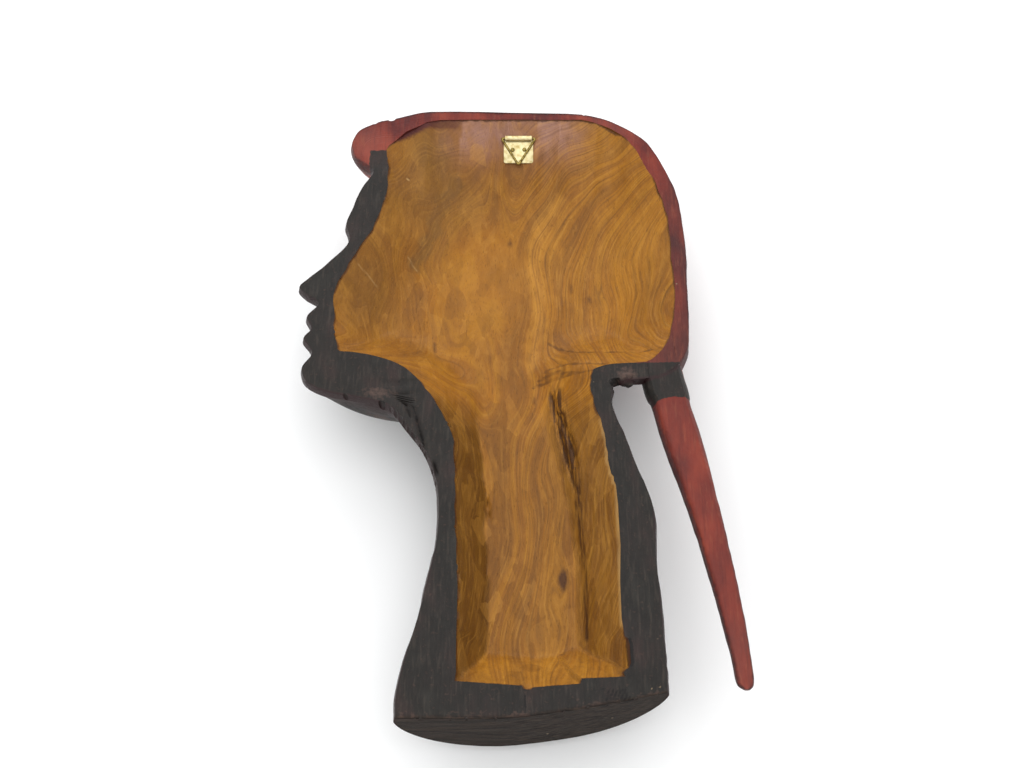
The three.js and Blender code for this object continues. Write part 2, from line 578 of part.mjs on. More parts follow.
function named(name, geometry, finish) {
  const mesh = new THREE.Mesh(geometry, finish);
  mesh.name = name;
  return mesh;
}

const mask = new THREE.Group();
mask.add(named('mask_body', makeBody(), paintedWood), hinge);
hinge.add(named('hanger_plate', makePlate(), brass), named('hanger_ring', makeRing(), brass));
for (const [side, name] of [[1, 'hanger_nail_left'], [-1, 'hanger_nail_right']]) {
  const nail = named(name, makeNail(), brass);
  nail.position.set(side * NAIL.x, 0, -NAIL.drop);
  hinge.add(nail);
}

export default mask;
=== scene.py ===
import math

import bmesh
import bpy
import numpy as np
from mathutils import Matrix, Vector


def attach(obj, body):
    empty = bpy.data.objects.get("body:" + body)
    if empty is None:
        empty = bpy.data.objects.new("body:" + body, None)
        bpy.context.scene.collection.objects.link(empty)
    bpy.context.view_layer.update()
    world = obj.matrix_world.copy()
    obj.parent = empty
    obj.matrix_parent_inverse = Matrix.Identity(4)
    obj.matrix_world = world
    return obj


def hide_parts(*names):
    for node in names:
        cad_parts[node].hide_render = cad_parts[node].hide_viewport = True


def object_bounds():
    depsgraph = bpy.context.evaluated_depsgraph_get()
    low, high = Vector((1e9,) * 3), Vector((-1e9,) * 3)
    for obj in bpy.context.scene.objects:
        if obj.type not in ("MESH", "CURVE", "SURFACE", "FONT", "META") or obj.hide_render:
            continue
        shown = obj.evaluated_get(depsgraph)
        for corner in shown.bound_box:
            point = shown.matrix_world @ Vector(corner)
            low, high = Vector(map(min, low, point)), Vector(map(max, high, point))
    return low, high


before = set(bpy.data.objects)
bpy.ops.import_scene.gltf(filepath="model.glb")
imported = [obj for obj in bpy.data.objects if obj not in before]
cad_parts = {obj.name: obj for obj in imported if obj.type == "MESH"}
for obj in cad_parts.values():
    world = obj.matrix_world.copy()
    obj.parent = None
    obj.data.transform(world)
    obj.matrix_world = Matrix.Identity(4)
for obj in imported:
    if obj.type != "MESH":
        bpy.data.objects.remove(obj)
cad_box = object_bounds()

# The photograph's view: a standard lens over the foot end of the mask, which lies face
# down on a table. The part is kept hanging, so the table top stands upright here, just
# beyond the most forward point of the carving.
MM = 0.001
CAMERA_PLACE = Vector((4.4, 760.9, -614.7)) * MM
CAMERA_AIM = Vector((4.4, 0, -192.9)) * MM
LENS, SENSOR_WIDTH = 50, 36

scene = bpy.context.scene
camera_data = bpy.data.cameras.new("camera")
camera_data.lens = LENS
camera_data.sensor_width = SENSOR_WIDTH
camera = bpy.data.objects.new("camera", camera_data)
camera.location = CAMERA_PLACE
camera.rotation_euler = (CAMERA_AIM - CAMERA_PLACE).to_track_quat("-Z", "Y").to_euler()
scene.collection.objects.link(camera)
scene.camera = camera
scene.view_settings.view_transform = "Standard"


def linear(code):
    """Linear colour of an sRGB hex code such as "#a9732e"."""
    shares = [int(code[i : i + 2], 16) / 255 for i in (1, 3, 5)]
    return [s / 12.92 if s <= 0.04045 else ((s + 0.055) / 1.055) ** 2.4 for s in shares] + [1.0]


def node(tree, kind, links=None, out=0, stops=(), **settings):
    """Add one shader node with its settings, fill or link its sockets, and give back one of its outputs."""
    made = tree.nodes.new("ShaderNode" + kind)
    for name, value in settings.items():
        setattr(made, name, value)
    for place, colour in stops:
        stop = made.color_ramp.elements.new(place)
        stop.color = linear(colour) if isinstance(colour, str) else colour
    if stops:
        made.color_ramp.elements.remove(made.color_ramp.elements[0])
        made.color_ramp.elements.remove(made.color_ramp.elements[-1])
    for socket, value in (links or {}).items():
        if isinstance(value, bpy.types.NodeSocket):
            tree.links.new(value, made.inputs[socket])
        else:
            made.inputs[socket].default_value = linear(value) if isinstance(value, str) else value
    return made.outputs[out] if made.outputs else made


def new_material(name):
    material = bpy.data.materials.new(name)
    material.use_nodes = True
    material.node_tree.nodes.clear()
    return material, material.node_tree


def flat_sheet(name, corners, material):
    """One four-cornered face of the room round the mask."""
    mesh = bpy.data.meshes.new(name)
    mesh.from_pydata(corners, [], [(0, 1, 2, 3)])
    mesh.materials.append(material)
    made = bpy.data.objects.new(name, mesh)
    scene.collection.objects.link(made)
    return made


# Matt white laminate of the table top. It shows from above only, so the carved side is seen through it.
TABLE_HALF = 1.1
TABLE_GAP = 0.5 * MM
square = [(-1, -1), (1, -1), (1, 1), (-1, 1)]
laminate, tree = new_material("white_laminate")
white = node(tree, "BsdfDiffuse", {"Color": "#fbfbfb"})
clear = node(tree, "BsdfTransparent")
from_below = node(tree, "NewGeometry", out="Backfacing")
both_sides = node(tree, "MixShader", {0: from_below, 1: white, 2: clear})
node(tree, "OutputMaterial", {"Surface": both_sides})
table_y = cad_box[0][1] - TABLE_GAP
table_corners = [(TABLE_HALF * x, table_y, CAMERA_AIM.z + TABLE_HALF * z) for z, x in square]
table = flat_sheet("table_top", table_corners, laminate)
table.visible_shadow = False

# Matt pale floor, far below, for the views in which the mask hangs upright.
FLOOR_Z, FLOOR_HALF = -2, 12
floor_paint, tree = new_material("pale_floor_paint")
node(tree, "OutputMaterial", {"Surface": node(tree, "BsdfDiffuse", {"Color": "#e9e9e8"})})
flat_sheet("floor", [(FLOOR_HALF * x, FLOOR_HALF * y, FLOOR_Z) for x, y in square], floor_paint)

# A bright white room with three large softboxes: over the back, beyond the head and before the carved side.
world = bpy.data.worlds.new("pale_room")
scene.world = world
world.use_nodes = True
background = world.node_tree.nodes["Background"]
background.inputs["Color"].default_value = linear("#f9fafb")
background.inputs["Strength"].default_value = 1.1
for name, place, size, power in [
    ("softbox_above", (0.1, 1.5, -0.3), 1.6, 8.2),
    ("softbox_head_end", (0.1, 0.95, 1.3), 1.6, 8.2),
    ("softbox_front", (0.6, -1.4, 0.7), 1.2, 12),
]:
    light_data = bpy.data.lights.new(name, "AREA")
    light_data.size = size
    light_data.energy = power
    light = bpy.data.objects.new(name, light_data)
    light.location = place
    light.rotation_euler = (CAMERA_AIM - Vector(place)).to_track_quat("-Z", "Y").to_euler()
    scene.collection.objects.link(light)

# The mask: one block of wood, sawn flat at the back and carved in front as half a head
# with its hair drawn back. Sizes are in millimetres. This is its outline on the flat
# back, down its front edge and its back edge.
CROWN, NAPE, THROAT = 20.6, -190, -208
FOOT, FOOT_BACK, FOOT_TURN = -400, -385, 12
NECK_BACK, BACK_OF_HEAD = -82.2, -109
RIM_WALL = 5
HEAD_DEPTH, NECK_DEPTH, FOOT_DEPTH = 55, 41, 52
BRIM_X, BRIM_Z = 98, -27
FACE_TILT = math.radians(10.5)
THIRD = 61  # a third of the face's height; what follows is so many thirds below the brim
BROW, EYE, NOSE_TIP, NOSE_BASE, MOUTH, CHIN = 0.8, 1.02, 1.66, 1.82, 2.13, 2.6
NOSE_REACH = 25
TUFT_X, TUFT_Z, TUFT_HALF_WIDTH, TUFT_HALF_HEIGHT, TUFT_RISE = 99, -8.4, 14.4, 17, 10


def line_through(points, per_span=14):
    """A smooth line through a few points, as many short steps."""
    p = np.array(points, float)
    ends = [2 * p[0] - p[1], *p, 2 * p[-1] - p[-2]]
    made = []
    for a, b, c, d in zip(ends, ends[1:], ends[2:], ends[3:]):
        t1 = math.dist(a, b) ** 0.5
        t2 = t1 + math.dist(b, c) ** 0.5
        t3 = t2 + math.dist(c, d) ** 0.5
        for t in t1 + (t2 - t1) * np.arange(per_span) / per_span:
            ab = a + (b - a) * t / t1
            bc = b + (c - b) * (t - t1) / (t2 - t1)
            cd = c + (d - c) * (t - t2) / (t3 - t2)
            abc = ab + (bc - ab) * t / t2
            bcd = bc + (cd - bc) * (t - t1) / (t3 - t1)
            made.append(abc + (bcd - abc) * (t - t1) / (t2 - t1))
    return np.array(made + [p[-1]])


def value_at(line, height):
    """For a line of (value, height) pairs that runs down: its value at a height."""
    downward = np.maximum.accumulate(-line[:, 1] + 1e-7 * np.arange(len(line)))
    return np.interp(-np.asarray(height, float), downward, line[:, 0])


def distance_to(line, x, z):
    """Distance of every point to a line of short steps."""
    x, z = np.broadcast_arrays(np.asarray(x, float), np.asarray(z, float))
    nearest = np.full(x.shape, 1e9)
    for (x0, z0), (x1, z1) in zip(line[:-1], line[1:]):
        along = ((x - x0) * (x1 - x0) + (z - z0) * (z1 - z0)) / ((x1 - x0) ** 2 + (z1 - z0) ** 2)
        along = np.clip(along, 0, 1)
        nearest = np.minimum(nearest, np.hypot(x - x0 - (x1 - x0) * along, z - z0 - (z1 - z0) * along))
    return nearest


def smooth(t):
    """A soft step from 0 to 1."""
    t = np.clip(t, 0, 1)
    return t * t * (3 - 2 * t)


def soft_max(a, b, width):
    share = np.clip(0.5 + (a - b) / (2 * width), 0, 1)
    return b + (a - b) * share + width * share * (1 - share)


def soft_min(a, b, width):
    return -soft_max(-a, -b, width)


def mound(du, dv, half_u, half_v):
    """1 at the middle of an oval and 0 from its edge outwards."""
    return smooth(1 - np.hypot(du / half_u, dv / half_v))


def groove(distance, half):
    """1 on a line and next to nothing two half widths away from it."""
    return np.exp(-((distance / half) ** 2))


def face_point(thirds, forward):
    """A point of the profile by its thirds of a face down from the brim, and forward of the forehead."""
    return (
        BRIM_X + thirds * THIRD * math.sin(FACE_TILT) + forward * math.cos(FACE_TILT),
        BRIM_Z - thirds * THIRD * math.cos(FACE_TILT) + forward * math.sin(FACE_TILT),
    )


tuft_arc = [(TUFT_X + TUFT_HALF_WIDTH * math.cos(turn), TUFT_Z + TUFT_HALF_HEIGHT * math.sin(turn))
            for turn in map(math.radians, (70, 40, 0, -40))]
front_edge = line_through([
    (48, CROWN), (60, 20.4), (70, 19), (80, 16), (86, 13.8), (94, 12.6), *tuft_arc,
    *[face_point(*place) for place in [
        (0.04, 0), (0.3, 4), (0.56, 6), (BROW, 7), (0.99, 2), (1.3, 11), (1.56, 22), (NOSE_TIP, NOSE_REACH),
        (1.75, 19), (NOSE_BASE, 10), (2, 14.5), (MOUTH, 9.5), (2.25, 12.5), (2.4, 5), (CHIN, 8.5), (2.74, 4),
    ]],
    (122, -197), (100, -202), (80, THROAT), (69, -221), (59, -235), (52.2, -251), (48.9, -268),
    (49.6, -296), (54.8, -325), (60.6, -348), (66, -370), (69.4, -388), (69.2, FOOT),
])
back_edge = line_through([
    (48, CROWN), (26, 20.3), (4, 19.4), (-34, 18.6), (-46, 17.4), (-60, 14), (-71, 8), (-80, 1.6),
    (-87.8, -6), (-93.4, -16), (-99.8, -31), (-104.8, -47), (-107.6, -66), (BACK_OF_HEAD, -100),
    (-107.8, -135), (-106.8, -164), (-103.4, -173), (-98.5, -180), (-86, -187.5), (-68, NAPE),
    (-60, -192.5), (-57.9, -198), (-58.8, -212), (-64, -227), (-70, -244), (-76.1, -262), (-79.3, -278),
    (-79.9, -308), (-81.2, -343), (NECK_BACK, -374), (NECK_BACK, FOOT),
])
outline = np.vstack([front_edge[::-1], back_edge[1:]])[::4]

# Depths of the carved side: the broad cheek and neck, and the narrow forms before them along the profile.
cheek_edge = line_through([
    (97, BRIM_Z), *[face_point(*place) for place in [
        (0.5, 0), (BROW, 2), (EYE, -8), (1.4, -7), (NOSE_BASE, -6), (MOUTH, -1), (CHIN, 3),
    ]],
    (120, -195), (98, -202), (80, THROAT),
])
midline_half = line_through([
    (RIM_WALL, TUFT_Z), *[(half, face_point(thirds, 0)[1]) for half, thirds in [
        (15, 0.2), (15, 0.6), (12, BROW), (7.5, EYE), (8.5, 1.35), (12.5, NOSE_TIP), (13, 1.76), (9, 1.84),
        (15, 2.02), (12, MOUTH), (14, 2.26), (12, 2.4), (17, CHIN),
    ]],
    (13, -196), (11, -203), (RIM_WALL, -235),
])
broad_depth = line_through([
    (3, CROWN), (13, 17), (24, 8.5), (33, 0), (43, -15), (50, -34), (HEAD_DEPTH, -62),
    (HEAD_DEPTH + 1.5, -100), (HEAD_DEPTH, -140), (51, -168), (46, -196), (NECK_DEPTH + 1, -230),
    (NECK_DEPTH, -290), (46, -350), (FOOT_DEPTH, FOOT),
])
hairline = line_through([
    (100, BRIM_Z), (78, -31), (58, -43), (40, -58), (22, -63), (-2, -59), (-24, -63), (-42, -82),
    (-52, -110), (-60, -142), (-74, -172), (-88, -190),
])
jaw_edge = line_through([(124, -199), (84, -192), (40, -178), (-2, -158), (-46, -150)])
hairline_by_x = hairline[:, ::-1]
jaw_by_x = jaw_edge[:, ::-1]


def ripple(size, seed, *places):
    """Smooth random waves about size millimetres long, mostly between -1 and 1."""
    chance = np.random.default_rng(seed)
    total = 0
    waves = 10
    for _ in range(waves):
        way = chance.normal(size=len(places))
        way *= chance.uniform(0.6, 1.5) * 2 * math.pi / (size * np.linalg.norm(way))
        total += np.sin(sum(w * p for w, p in zip(way, places)) + chance.uniform(0, 2 * math.pi))
    return total / math.sqrt(waves)


def tool_marks(across, along, seed):
    """Squared distance to the nearest of many scattered middles, one to a unit cell: a field of cuts."""
    middles = np.random.default_rng(seed).uniform(-0.38, 0.38, (64, 64, 2))
    across, along = np.broadcast_arrays(across, along)
    column, row = np.floor(across).astype(int), np.floor(along).astype(int)
    nearest = np.full(across.shape, 9.0)
    for i in (-1, 0, 1):
        for j in (-1, 0, 1):
            shift = middles[(column + i) % 64, (row + j) % 64]
            du = across - (column + i + 0.5 + shift[..., 0])
            dv = along - (row + j + 0.5 + shift[..., 1])
            nearest = np.minimum(nearest, du * du + dv * dv)
    return nearest


# The forms of the face: how far each rises, its middle down from the brim and forward of the forehead
# line, and its half sizes down and forward.
face_forms = [
    (3.5, BROW * THIRD - 3, -20, 9, 30),  # brow
    (-11, EYE * THIRD + 1, -19, 17, 21),  # eye socket
    (9, EYE * THIRD + 2, -19, 12, 16),  # eyeball under its closed lid
    (5, 1.42 * THIRD, -42, 24, 34),  # cheekbone
    (6, 1.7 * THIRD, 3, 10, 12),  # wing of the nose
    (-3.5, 1.78 * THIRD, 7, 3, 4.5),  # nostril
    (4, 2.02 * THIRD, -2, 7, 18),  # upper lip
    (4, 2.25 * THIRD, -2, 7, 17),  # lower lip
    (-3, MOUTH * THIRD, -12, 6, 9),  # corner of the mouth
    (4, CHIN * THIRD, -8, 14, 16),  # chin
]


def face_relief(x, z):
    down = (x - BRIM_X) * math.sin(FACE_TILT) - (z - BRIM_Z) * math.cos(FACE_TILT)
    forward = (x - BRIM_X) * math.cos(FACE_TILT) + (z - BRIM_Z) * math.sin(FACE_TILT)
    rise = 0
    for height, down_at, forward_at, half_down, half_forward in face_forms:
        rise += height * mound(down - down_at, forward - forward_at, half_down, half_forward)
    lid_edge = EYE * THIRD + 7 - 0.018 * (forward + 19) ** 2
    rise -= 1.6 * groove(down - lid_edge, 1.1) * smooth((14 - np.abs(forward + 19)) / 4)
    return rise - 1.8 * groove(down - MOUTH * THIRD, 1.2) * smooth((forward + 20) / 8)


# The ear stands low on the side of the head, with a rolled rim, a hollow shell and a small flap before its
# opening. Its lines are in shares of its half sizes.
EAR_X, EAR_Z, EAR_HALF_WIDTH, EAR_HALF_HEIGHT = -20, -99, 17, 31
EAR_LEAN = math.radians(10)
EAR_RISE = 5
EAR_RIM_HALF, EAR_FOLD_HALF, EAR_FOLD_RISE = 3.4, 2.6, 2
EAR_FLAP = 3
ear_rim = line_through([
    (0.3, -0.12), (0.66, 0.1), (0.78, 0.55), (0.42, 0.93), (-0.25, 0.98), (-0.85, 0.6), (-1, 0),
    (-0.75, -0.5), (-0.35, -0.86), (0.1, -1.02), (0.5, -0.8), (0.62, -0.5),
], 5)
ear_fold = line_through([(0.2, 0.62), (-0.3, 0.42), (-0.52, -0.1), (-0.3, -0.5), (0.1, -0.62)], 5)


def ear_relief(x, z):
    lean_x, lean_z = math.sin(EAR_LEAN), math.cos(EAR_LEAN)
    across = ((x - EAR_X) * lean_z + (z - EAR_Z) * lean_x) / EAR_HALF_WIDTH
    along = ((z - EAR_Z) * lean_z - (x - EAR_X) * lean_x) / EAR_HALF_HEIGHT
    rise = EAR_RISE * smooth((1.3 - np.hypot(across, along)) / 0.5)
    rise -= EAR_RISE * 1.2 * mound(across - 0.06, along - 0.13, 1, 0.9)
    near = np.hypot(across, along) < 1.6
    ridges = [(ear_rim, EAR_RIM_HALF, EAR_RIM_HALF), (ear_fold, EAR_FOLD_HALF, EAR_FOLD_RISE)]
    for line, half, lift in ridges:
        scaled = line * (EAR_HALF_WIDTH, EAR_HALF_HEIGHT)
        from_line = np.full(across.shape, 99.0)
        from_line[near] = distance_to(scaled, across[near] * EAR_HALF_WIDTH, along[near] * EAR_HALF_HEIGHT)
        rise += lift * np.sqrt(np.clip(1 - (from_line / half) ** 2, 0, 1))
    return rise + EAR_FLAP * mound(across - 0.62, along + 0.2, 0.3, 0.22)


# The hair is drawn back in broad locks, from the forehead over the crown and down to the nape. A long groove
# along the combed lines parts each lock from the next.
HAIR_RISE = 5
LOCKS, LOCK_GROOVE = 6, 3.6


def combing(x, z):
    """Runs from 0 at the outline to 1 at the hairline, so that its even steps are the combed lines."""
    to_outline = distance_to(outline, x, z)
    share = to_outline / (to_outline + distance_to(hairline[::4], x, z))
    return share + 0.012 * ripple(40, 31, x, z)


def hair_relief(x, z):
    inside = smooth((z - value_at(hairline_by_x, x) + 1) / 4)
    lock = np.abs(np.sin(math.pi * LOCKS * combing(x, z)))
    return inside * (HAIR_RISE - LOCK_GROOVE * (1 - lock))


# All of the carved side together. The ear, the hair and the knife's marks fade out towards the thin rim of
# the outline. Under the jaw and under the nape the wood is cut back.
SKULL_ROUND, NECK_ROUND = 100, 56
SWELL_OUTSIDE, SWELL_INSIDE = 2.2, 1.7
PROFILE_WALL, THINNEST_WALL = 0.6 * RIM_WALL, 0.8 * RIM_WALL
RELIEF_MARGIN = 14
JAW_CUT = 6
KNIFE_CUT, KNIFE_WIDTH, KNIFE_LENGTH = 0.5, 11, 24
NAPE_WALL, NAPE_SLOPE = 6, 1.8


def carved_depth(x, z):
    """How far the carved side stands in front of the flat back."""
    front = value_at(front_edge, z)
    back = value_at(back_edge, z)
    cheek = np.where((z < BRIM_Z) & (z > THROAT), np.minimum(value_at(cheek_edge, z), front), front)
    round_over = SKULL_ROUND + (NECK_ROUND - SKULL_ROUND) * smooth((-175 - z) / 50)

    def swell(distance):
        return (1 - (1 - np.clip(distance / round_over, 0, 1)) ** SWELL_OUTSIDE) ** (1 / SWELL_INSIDE)

    broad = RIM_WALL + value_at(broad_depth, z) * swell(cheek - x) * swell(x - back)
    half = np.maximum(value_at(midline_half, z), RIM_WALL)
    inward = np.clip((front - x) / half, 0, 1)
    midline = PROFILE_WALL + (half - PROFILE_WALL) * np.sqrt(1 - (1 - inward) ** 2)
    under_jaw = smooth((value_at(jaw_by_x, x) - z) / 17) * smooth((z + 262) / 60) * smooth((x + 34) / 30)
    near_edge = smooth(np.minimum(front - x, x - back) / RELIEF_MARGIN)
    from_tuft = np.hypot((x - TUFT_X) / TUFT_HALF_WIDTH, (z - TUFT_Z) / TUFT_HALF_HEIGHT)
    tuft = TUFT_RISE * np.sqrt(np.clip(1 - from_tuft ** 2, 0, 1))
    depth = soft_max(broad, midline, 6) + face_relief(x, z) - near_edge * JAW_CUT * under_jaw
    depth += near_edge * (ear_relief(x, z) + hair_relief(x, z))
    cuts = tool_marks(x / KNIFE_WIDTH, z / KNIFE_LENGTH, 5)
    depth += near_edge * KNIFE_CUT * (cuts - 0.2) * smooth((value_at(hairline_by_x, x) - z) / 6)
    undercut = NAPE_WALL + NAPE_SLOPE * np.maximum(z - NAPE, 0)
    cut_back = np.minimum(undercut - depth, 0) * smooth((-44 - x) / 14)
    depth += np.where(z > NAPE - 4, cut_back, 0)
    return np.maximum(soft_max(depth, RIM_WALL + tuft, 2), THINNEST_WALL)


def heights_through(top, bands):
    """Heights from the top down, with the spacing asked for in each band of (lowest, spacing)."""
    heights = [top]
    for lowest, spacing in bands:
        start = heights[-1]
        steps = max(1, round((start - lowest) / spacing))
        heights += [start + (lowest - start) * (i + 1) / steps for i in range(steps)]
    return np.array(heights)


def to_foot(x, height):
    """The foot is sawn square under the throat and rises in a second cut towards the back of the neck."""
    cut = FOOT + (FOOT_BACK - FOOT) * np.clip((FOOT_TURN - x) / (FOOT_TURN - NECK_BACK), 0, 1) ** 1.4
    start = -345
    return np.where(height > start, height, start + (cut - start) * (start - height) / (start - FOOT))


def tube_mesh(name, loops):
    """A closed mesh from a stack of loops, rows x points x 3 in millimetres, with a face at each end."""
    rows, count, _ = loops.shape
    first = np.arange(rows - 1)[:, None] * count + np.arange(count)[None]
    after = np.arange(rows - 1)[:, None] * count + (np.arange(count)[None] + 1) % count
    quads = np.stack([first, first + count, after + count, after], -1).reshape(-1, 4)
    mesh = bpy.data.meshes.new(name)
    faces = quads.tolist() + [list(range(count)), list(range(rows * count - 1, (rows - 1) * count - 1, -1))]
    mesh.from_pydata((loops.reshape(-1, 3) * MM).tolist(), [], faces)
    mesh.update()
    shape = bmesh.new()
    shape.from_mesh(mesh)
    bmesh.ops.recalc_face_normals(shape, faces=shape.faces)
    shape.to_mesh(mesh)
    shape.free()
    made = bpy.data.objects.new(name, mesh)
    scene.collection.objects.link(made)
    return made


# The block's loops run along the flat back and return along the carved side, one loop for each height. The
# columns of the back are closest near the two edges, where the rim stays. Three knife cuts lie on the rim
# under the jaw, and a fine seam runs down to the foot.
RIM_ROLL = 1.2
RIM_UNEVEN = 0.5
EDGE_UNEVEN = 0.16
RIM_CUT, RIM_CUT_HALF = 1.6, 0.9
CARVED_COLUMNS, MIDDLE_COLUMNS = 184, 12
rim_reaches = -heights_through(0, [(-0.6, 0.3), (-34, 1.2)])[None]
heights = heights_through(CROWN - 0.3, [(15, 0.9), (-210, 1.4), (-270, 2), (FOOT, 2.6)])[:, None]
front_waves = 2 * ripple(60, 41, heights) + 0.5 * ripple(14, 44, heights)
back_waves = 2 * ripple(60, 42, heights) + 0.5 * ripple(14, 45, heights)
front = value_at(front_edge, heights) + EDGE_UNEVEN * front_waves
back = value_at(back_edge, heights) - EDGE_UNEVEN * back_waves
roll = np.minimum(RIM_ROLL, (front - back) / 8)
even = np.linspace(0, 1, CARVED_COLUMNS)
carved_x = front + (back - front) * (0.4 * even + 0.3 * (1 - np.cos(math.pi * even)))
carved_y = -carved_depth(carved_x, heights)
reach = rim_reaches * np.minimum(1, (front - back - 2 * roll) / (2.2 * rim_reaches.max()))
from_back = back + roll + reach
from_front = (front - roll - reach)[:, ::-1]
middle_share = np.linspace(0, 1, MIDDLE_COLUMNS)[None, 1:-1]
middle_x = from_back[:, -1:] + (from_front[:, :1] - from_back[:, -1:]) * middle_share
flat_x = np.hstack([from_back, middle_x, from_front])
jaw_cuts = [
    line_through([(74, -189), (70.5, -202), (65.5, -216)]),
    line_through([(63.9, -209), (60.3, -223), (56, -238)]),
    line_through([(50.5, -246), (48.5, -256)]),
]
seam = line_through([(-2.1, -380), (-2.6, -390), (-2.1, FOOT)])
flat_y = -RIM_UNEVEN * (0.5 + 0.5 * ripple(26, 43, flat_x, heights)).clip(0, 1)
for cut in (*jaw_cuts, seam):
    flat_y -= RIM_CUT * groove(distance_to(cut[::3], flat_x, heights), RIM_CUT_HALF)
flat_y[:, 0] -= RIM_ROLL / 2
flat_y[:, -1] -= RIM_ROLL / 2
loop_x = np.hstack([carved_x, flat_x])
loop_y = np.hstack([carved_y, flat_y])
loop_z = to_foot(loop_x, np.broadcast_to(heights, loop_x.shape))

# Its sawn foot is closed by smaller and smaller loops, with faint saw marks.
end_shares = np.array([0.99, 0.97, 0.94, 0.9, 0.85, 0.79, 0.72, 0.64, 0.55, 0.45, 0.34, 0.22, 0.08])[:, None]
end_x = np.mean((front[-1], back[-1])) * (1 - end_shares) + loop_x[-1:] * end_shares
end_y = -FOOT_DEPTH * 0.3 * (1 - end_shares) + loop_y[-1:] * end_shares
saw_marks = 0.12 * ripple(24, 47, end_x, end_y)
end_z = to_foot(end_x, np.full_like(end_x, FOOT)) + 0.2 + saw_marks * smooth((1 - end_shares) / 0.06)
loops = [np.vstack(pair) for pair in ((loop_x, end_x), (loop_y, end_y), (loop_z, end_z))]
block = tube_mesh("carved_mask", np.stack(loops, -1))

# The hollow was cut with gouges to take weight out of the block, with an upright knife cut
# round its edge. Chisels left upright facets on its upper wall, soft scoops in its bowl
# and long flats in the trough of the neck.
HOLLOW_TOP, HOLLOW_END = 13.6, -379.5
HOLLOW_LIP = 1.2
BOWL_X, BOWL_Z, BOWL_HALF_WIDTH, BOWL_HALF_HEIGHT = 2, -95, 100, 110
BOWL_FLOOR, BOWL_RISE = 30, 4
TROUGH_FLOOR = 25.5
TROUGH_FROM, TROUGH_BLEND = -165, 60
SEAT_SLOPE = math.radians(20)
FACET = 2.6  # hollow of a facet between its ridges
SCOOP, SCOOP_WIDTH, SCOOP_LENGTH = 1.2, 17, 25
CUT, CUT_WIDTH, CUT_LENGTH = 0.6, 8, 26
FLAT, FLAT_WIDTH, FLAT_LENGTH = 0.7 * SCOOP, 13, 60
SPLIT_TORN_TO = -262  # the split is torn wide above this height and a closed line below it
hollow_front = line_through([
    (88.6, -11), (87, -38), (90, -62), (97, -80), (109, -104), (115.5, -120), (117, -135), (115.5, -151),
    (113, -166), (112, -169), (104, -169.8), (86, -173.8), (70.3, -181), (58.9, -193.6), (49.9, -207.5),
    (41.7, -223), (38.9, -244), (38.2, -264), (38.2, -286), (36.8, -291), (36, -338), (35.9, HOLLOW_END),
])
hollow_top = np.array([
    (-42, HOLLOW_TOP), (15, HOLLOW_TOP), (53, 13.2), (62, 11.4), (68.5, 7.4), (76, 3), (82.4, -3.8),
    (88.6, -11),
])
hollow_back = line_through([
    (-42, HOLLOW_TOP), (-55.5, 9.2), (-66, 3.2), (-75.3, -5.6), (-82, -17), (-91.6, -42), (-97, -66),
    (-98.4, -94), (-98.8, -125), (-95.5, -154), (-91.3, -164.5), (-86.6, -171), (-80, -176.3), (-56, -178.8),
    (-46.5, -182), (-44, -190), (-45.4, -204.7), (-50.3, -223), (-52.8, -238), (-54.8, -254), (-56.5, -259),
    (-57.7, -284.5), (-58.2, -352), (-60.4, -355.5), (-60.4, -371), (-57.6, -373), (-57.6, HOLLOW_END),
])
hollow_front[:, 0] += 0.8 * ripple(5, 51, hollow_front[:, 1])
hollow_back[:, 0] += 0.5 * ripple(5, 52, hollow_back[:, 1])
hollow_end = np.array([
    (36, -379), (-1, -381.5), (-2, -383.5), (-6, -383.5), (-7, -382.5), (-33, -380.5), (-34, -377.5),
    (-58, -376.5),
])
hollow_outline = np.vstack([hollow_front[:-2:4], hollow_end, hollow_back[-4::-4], hollow_top[1:-1]])
wall_ridges = np.array([-75, -52, -27.6, -12.3, 12.5, 39.2, 62, 90])
left_cuts = [
    line_through([(20.9, -250), (19.6, -258.5), (17.6, -272)]),
    line_through([(19, -300), (20.7, -323), (21.4, -338)]),
]
split_strands = [
    line_through([
        (-20.6, -188.9), (-22.3, -200.8), (-25.2, -214.8), (-28.6, -230.6), (-32, -246.4), (-34, -260.9),
        (-34.3, -279.6), (-35.7, -298.7), (-36.4, -323.3), (-36.4, -347.4),
    ]),
    line_through([(-25.3, -203.4), (-28.8, -214.9), (-32.8, -227.8), (-34.4, -239.3)]),
]
floor_checks = [
    line_through([
        (-19.5, -147.4), (-27.6, -154.3), (-38.7, -160), (-57.3, -163.1), (-75.9, -164.6), (-90, -166),
    ]),
    line_through([(-11.4, -176.6), (-19.6, -173.7), (-25.8, -173)]),
    line_through([(-8.3, -180.2), (-18.3, -178.4), (-28.8, -178.5), (-44.9, -181.9)]),
    line_through([(-13.3, -175.7), (-23.3, -174.9), (-37.8, -179.2)]),
    line_through([(-16, -171), (-27, -169.5), (-41, -173.5), (-54, -177)]),
    line_through([(54.4, -147.1), (53.4, -156.8)]),
]


def ridge_count(x, z):
    """A whole number on each ridge between two facets of the upper wall."""
    return np.interp(x + 0.06 * z, wall_ridges, np.arange(len(wall_ridges)))


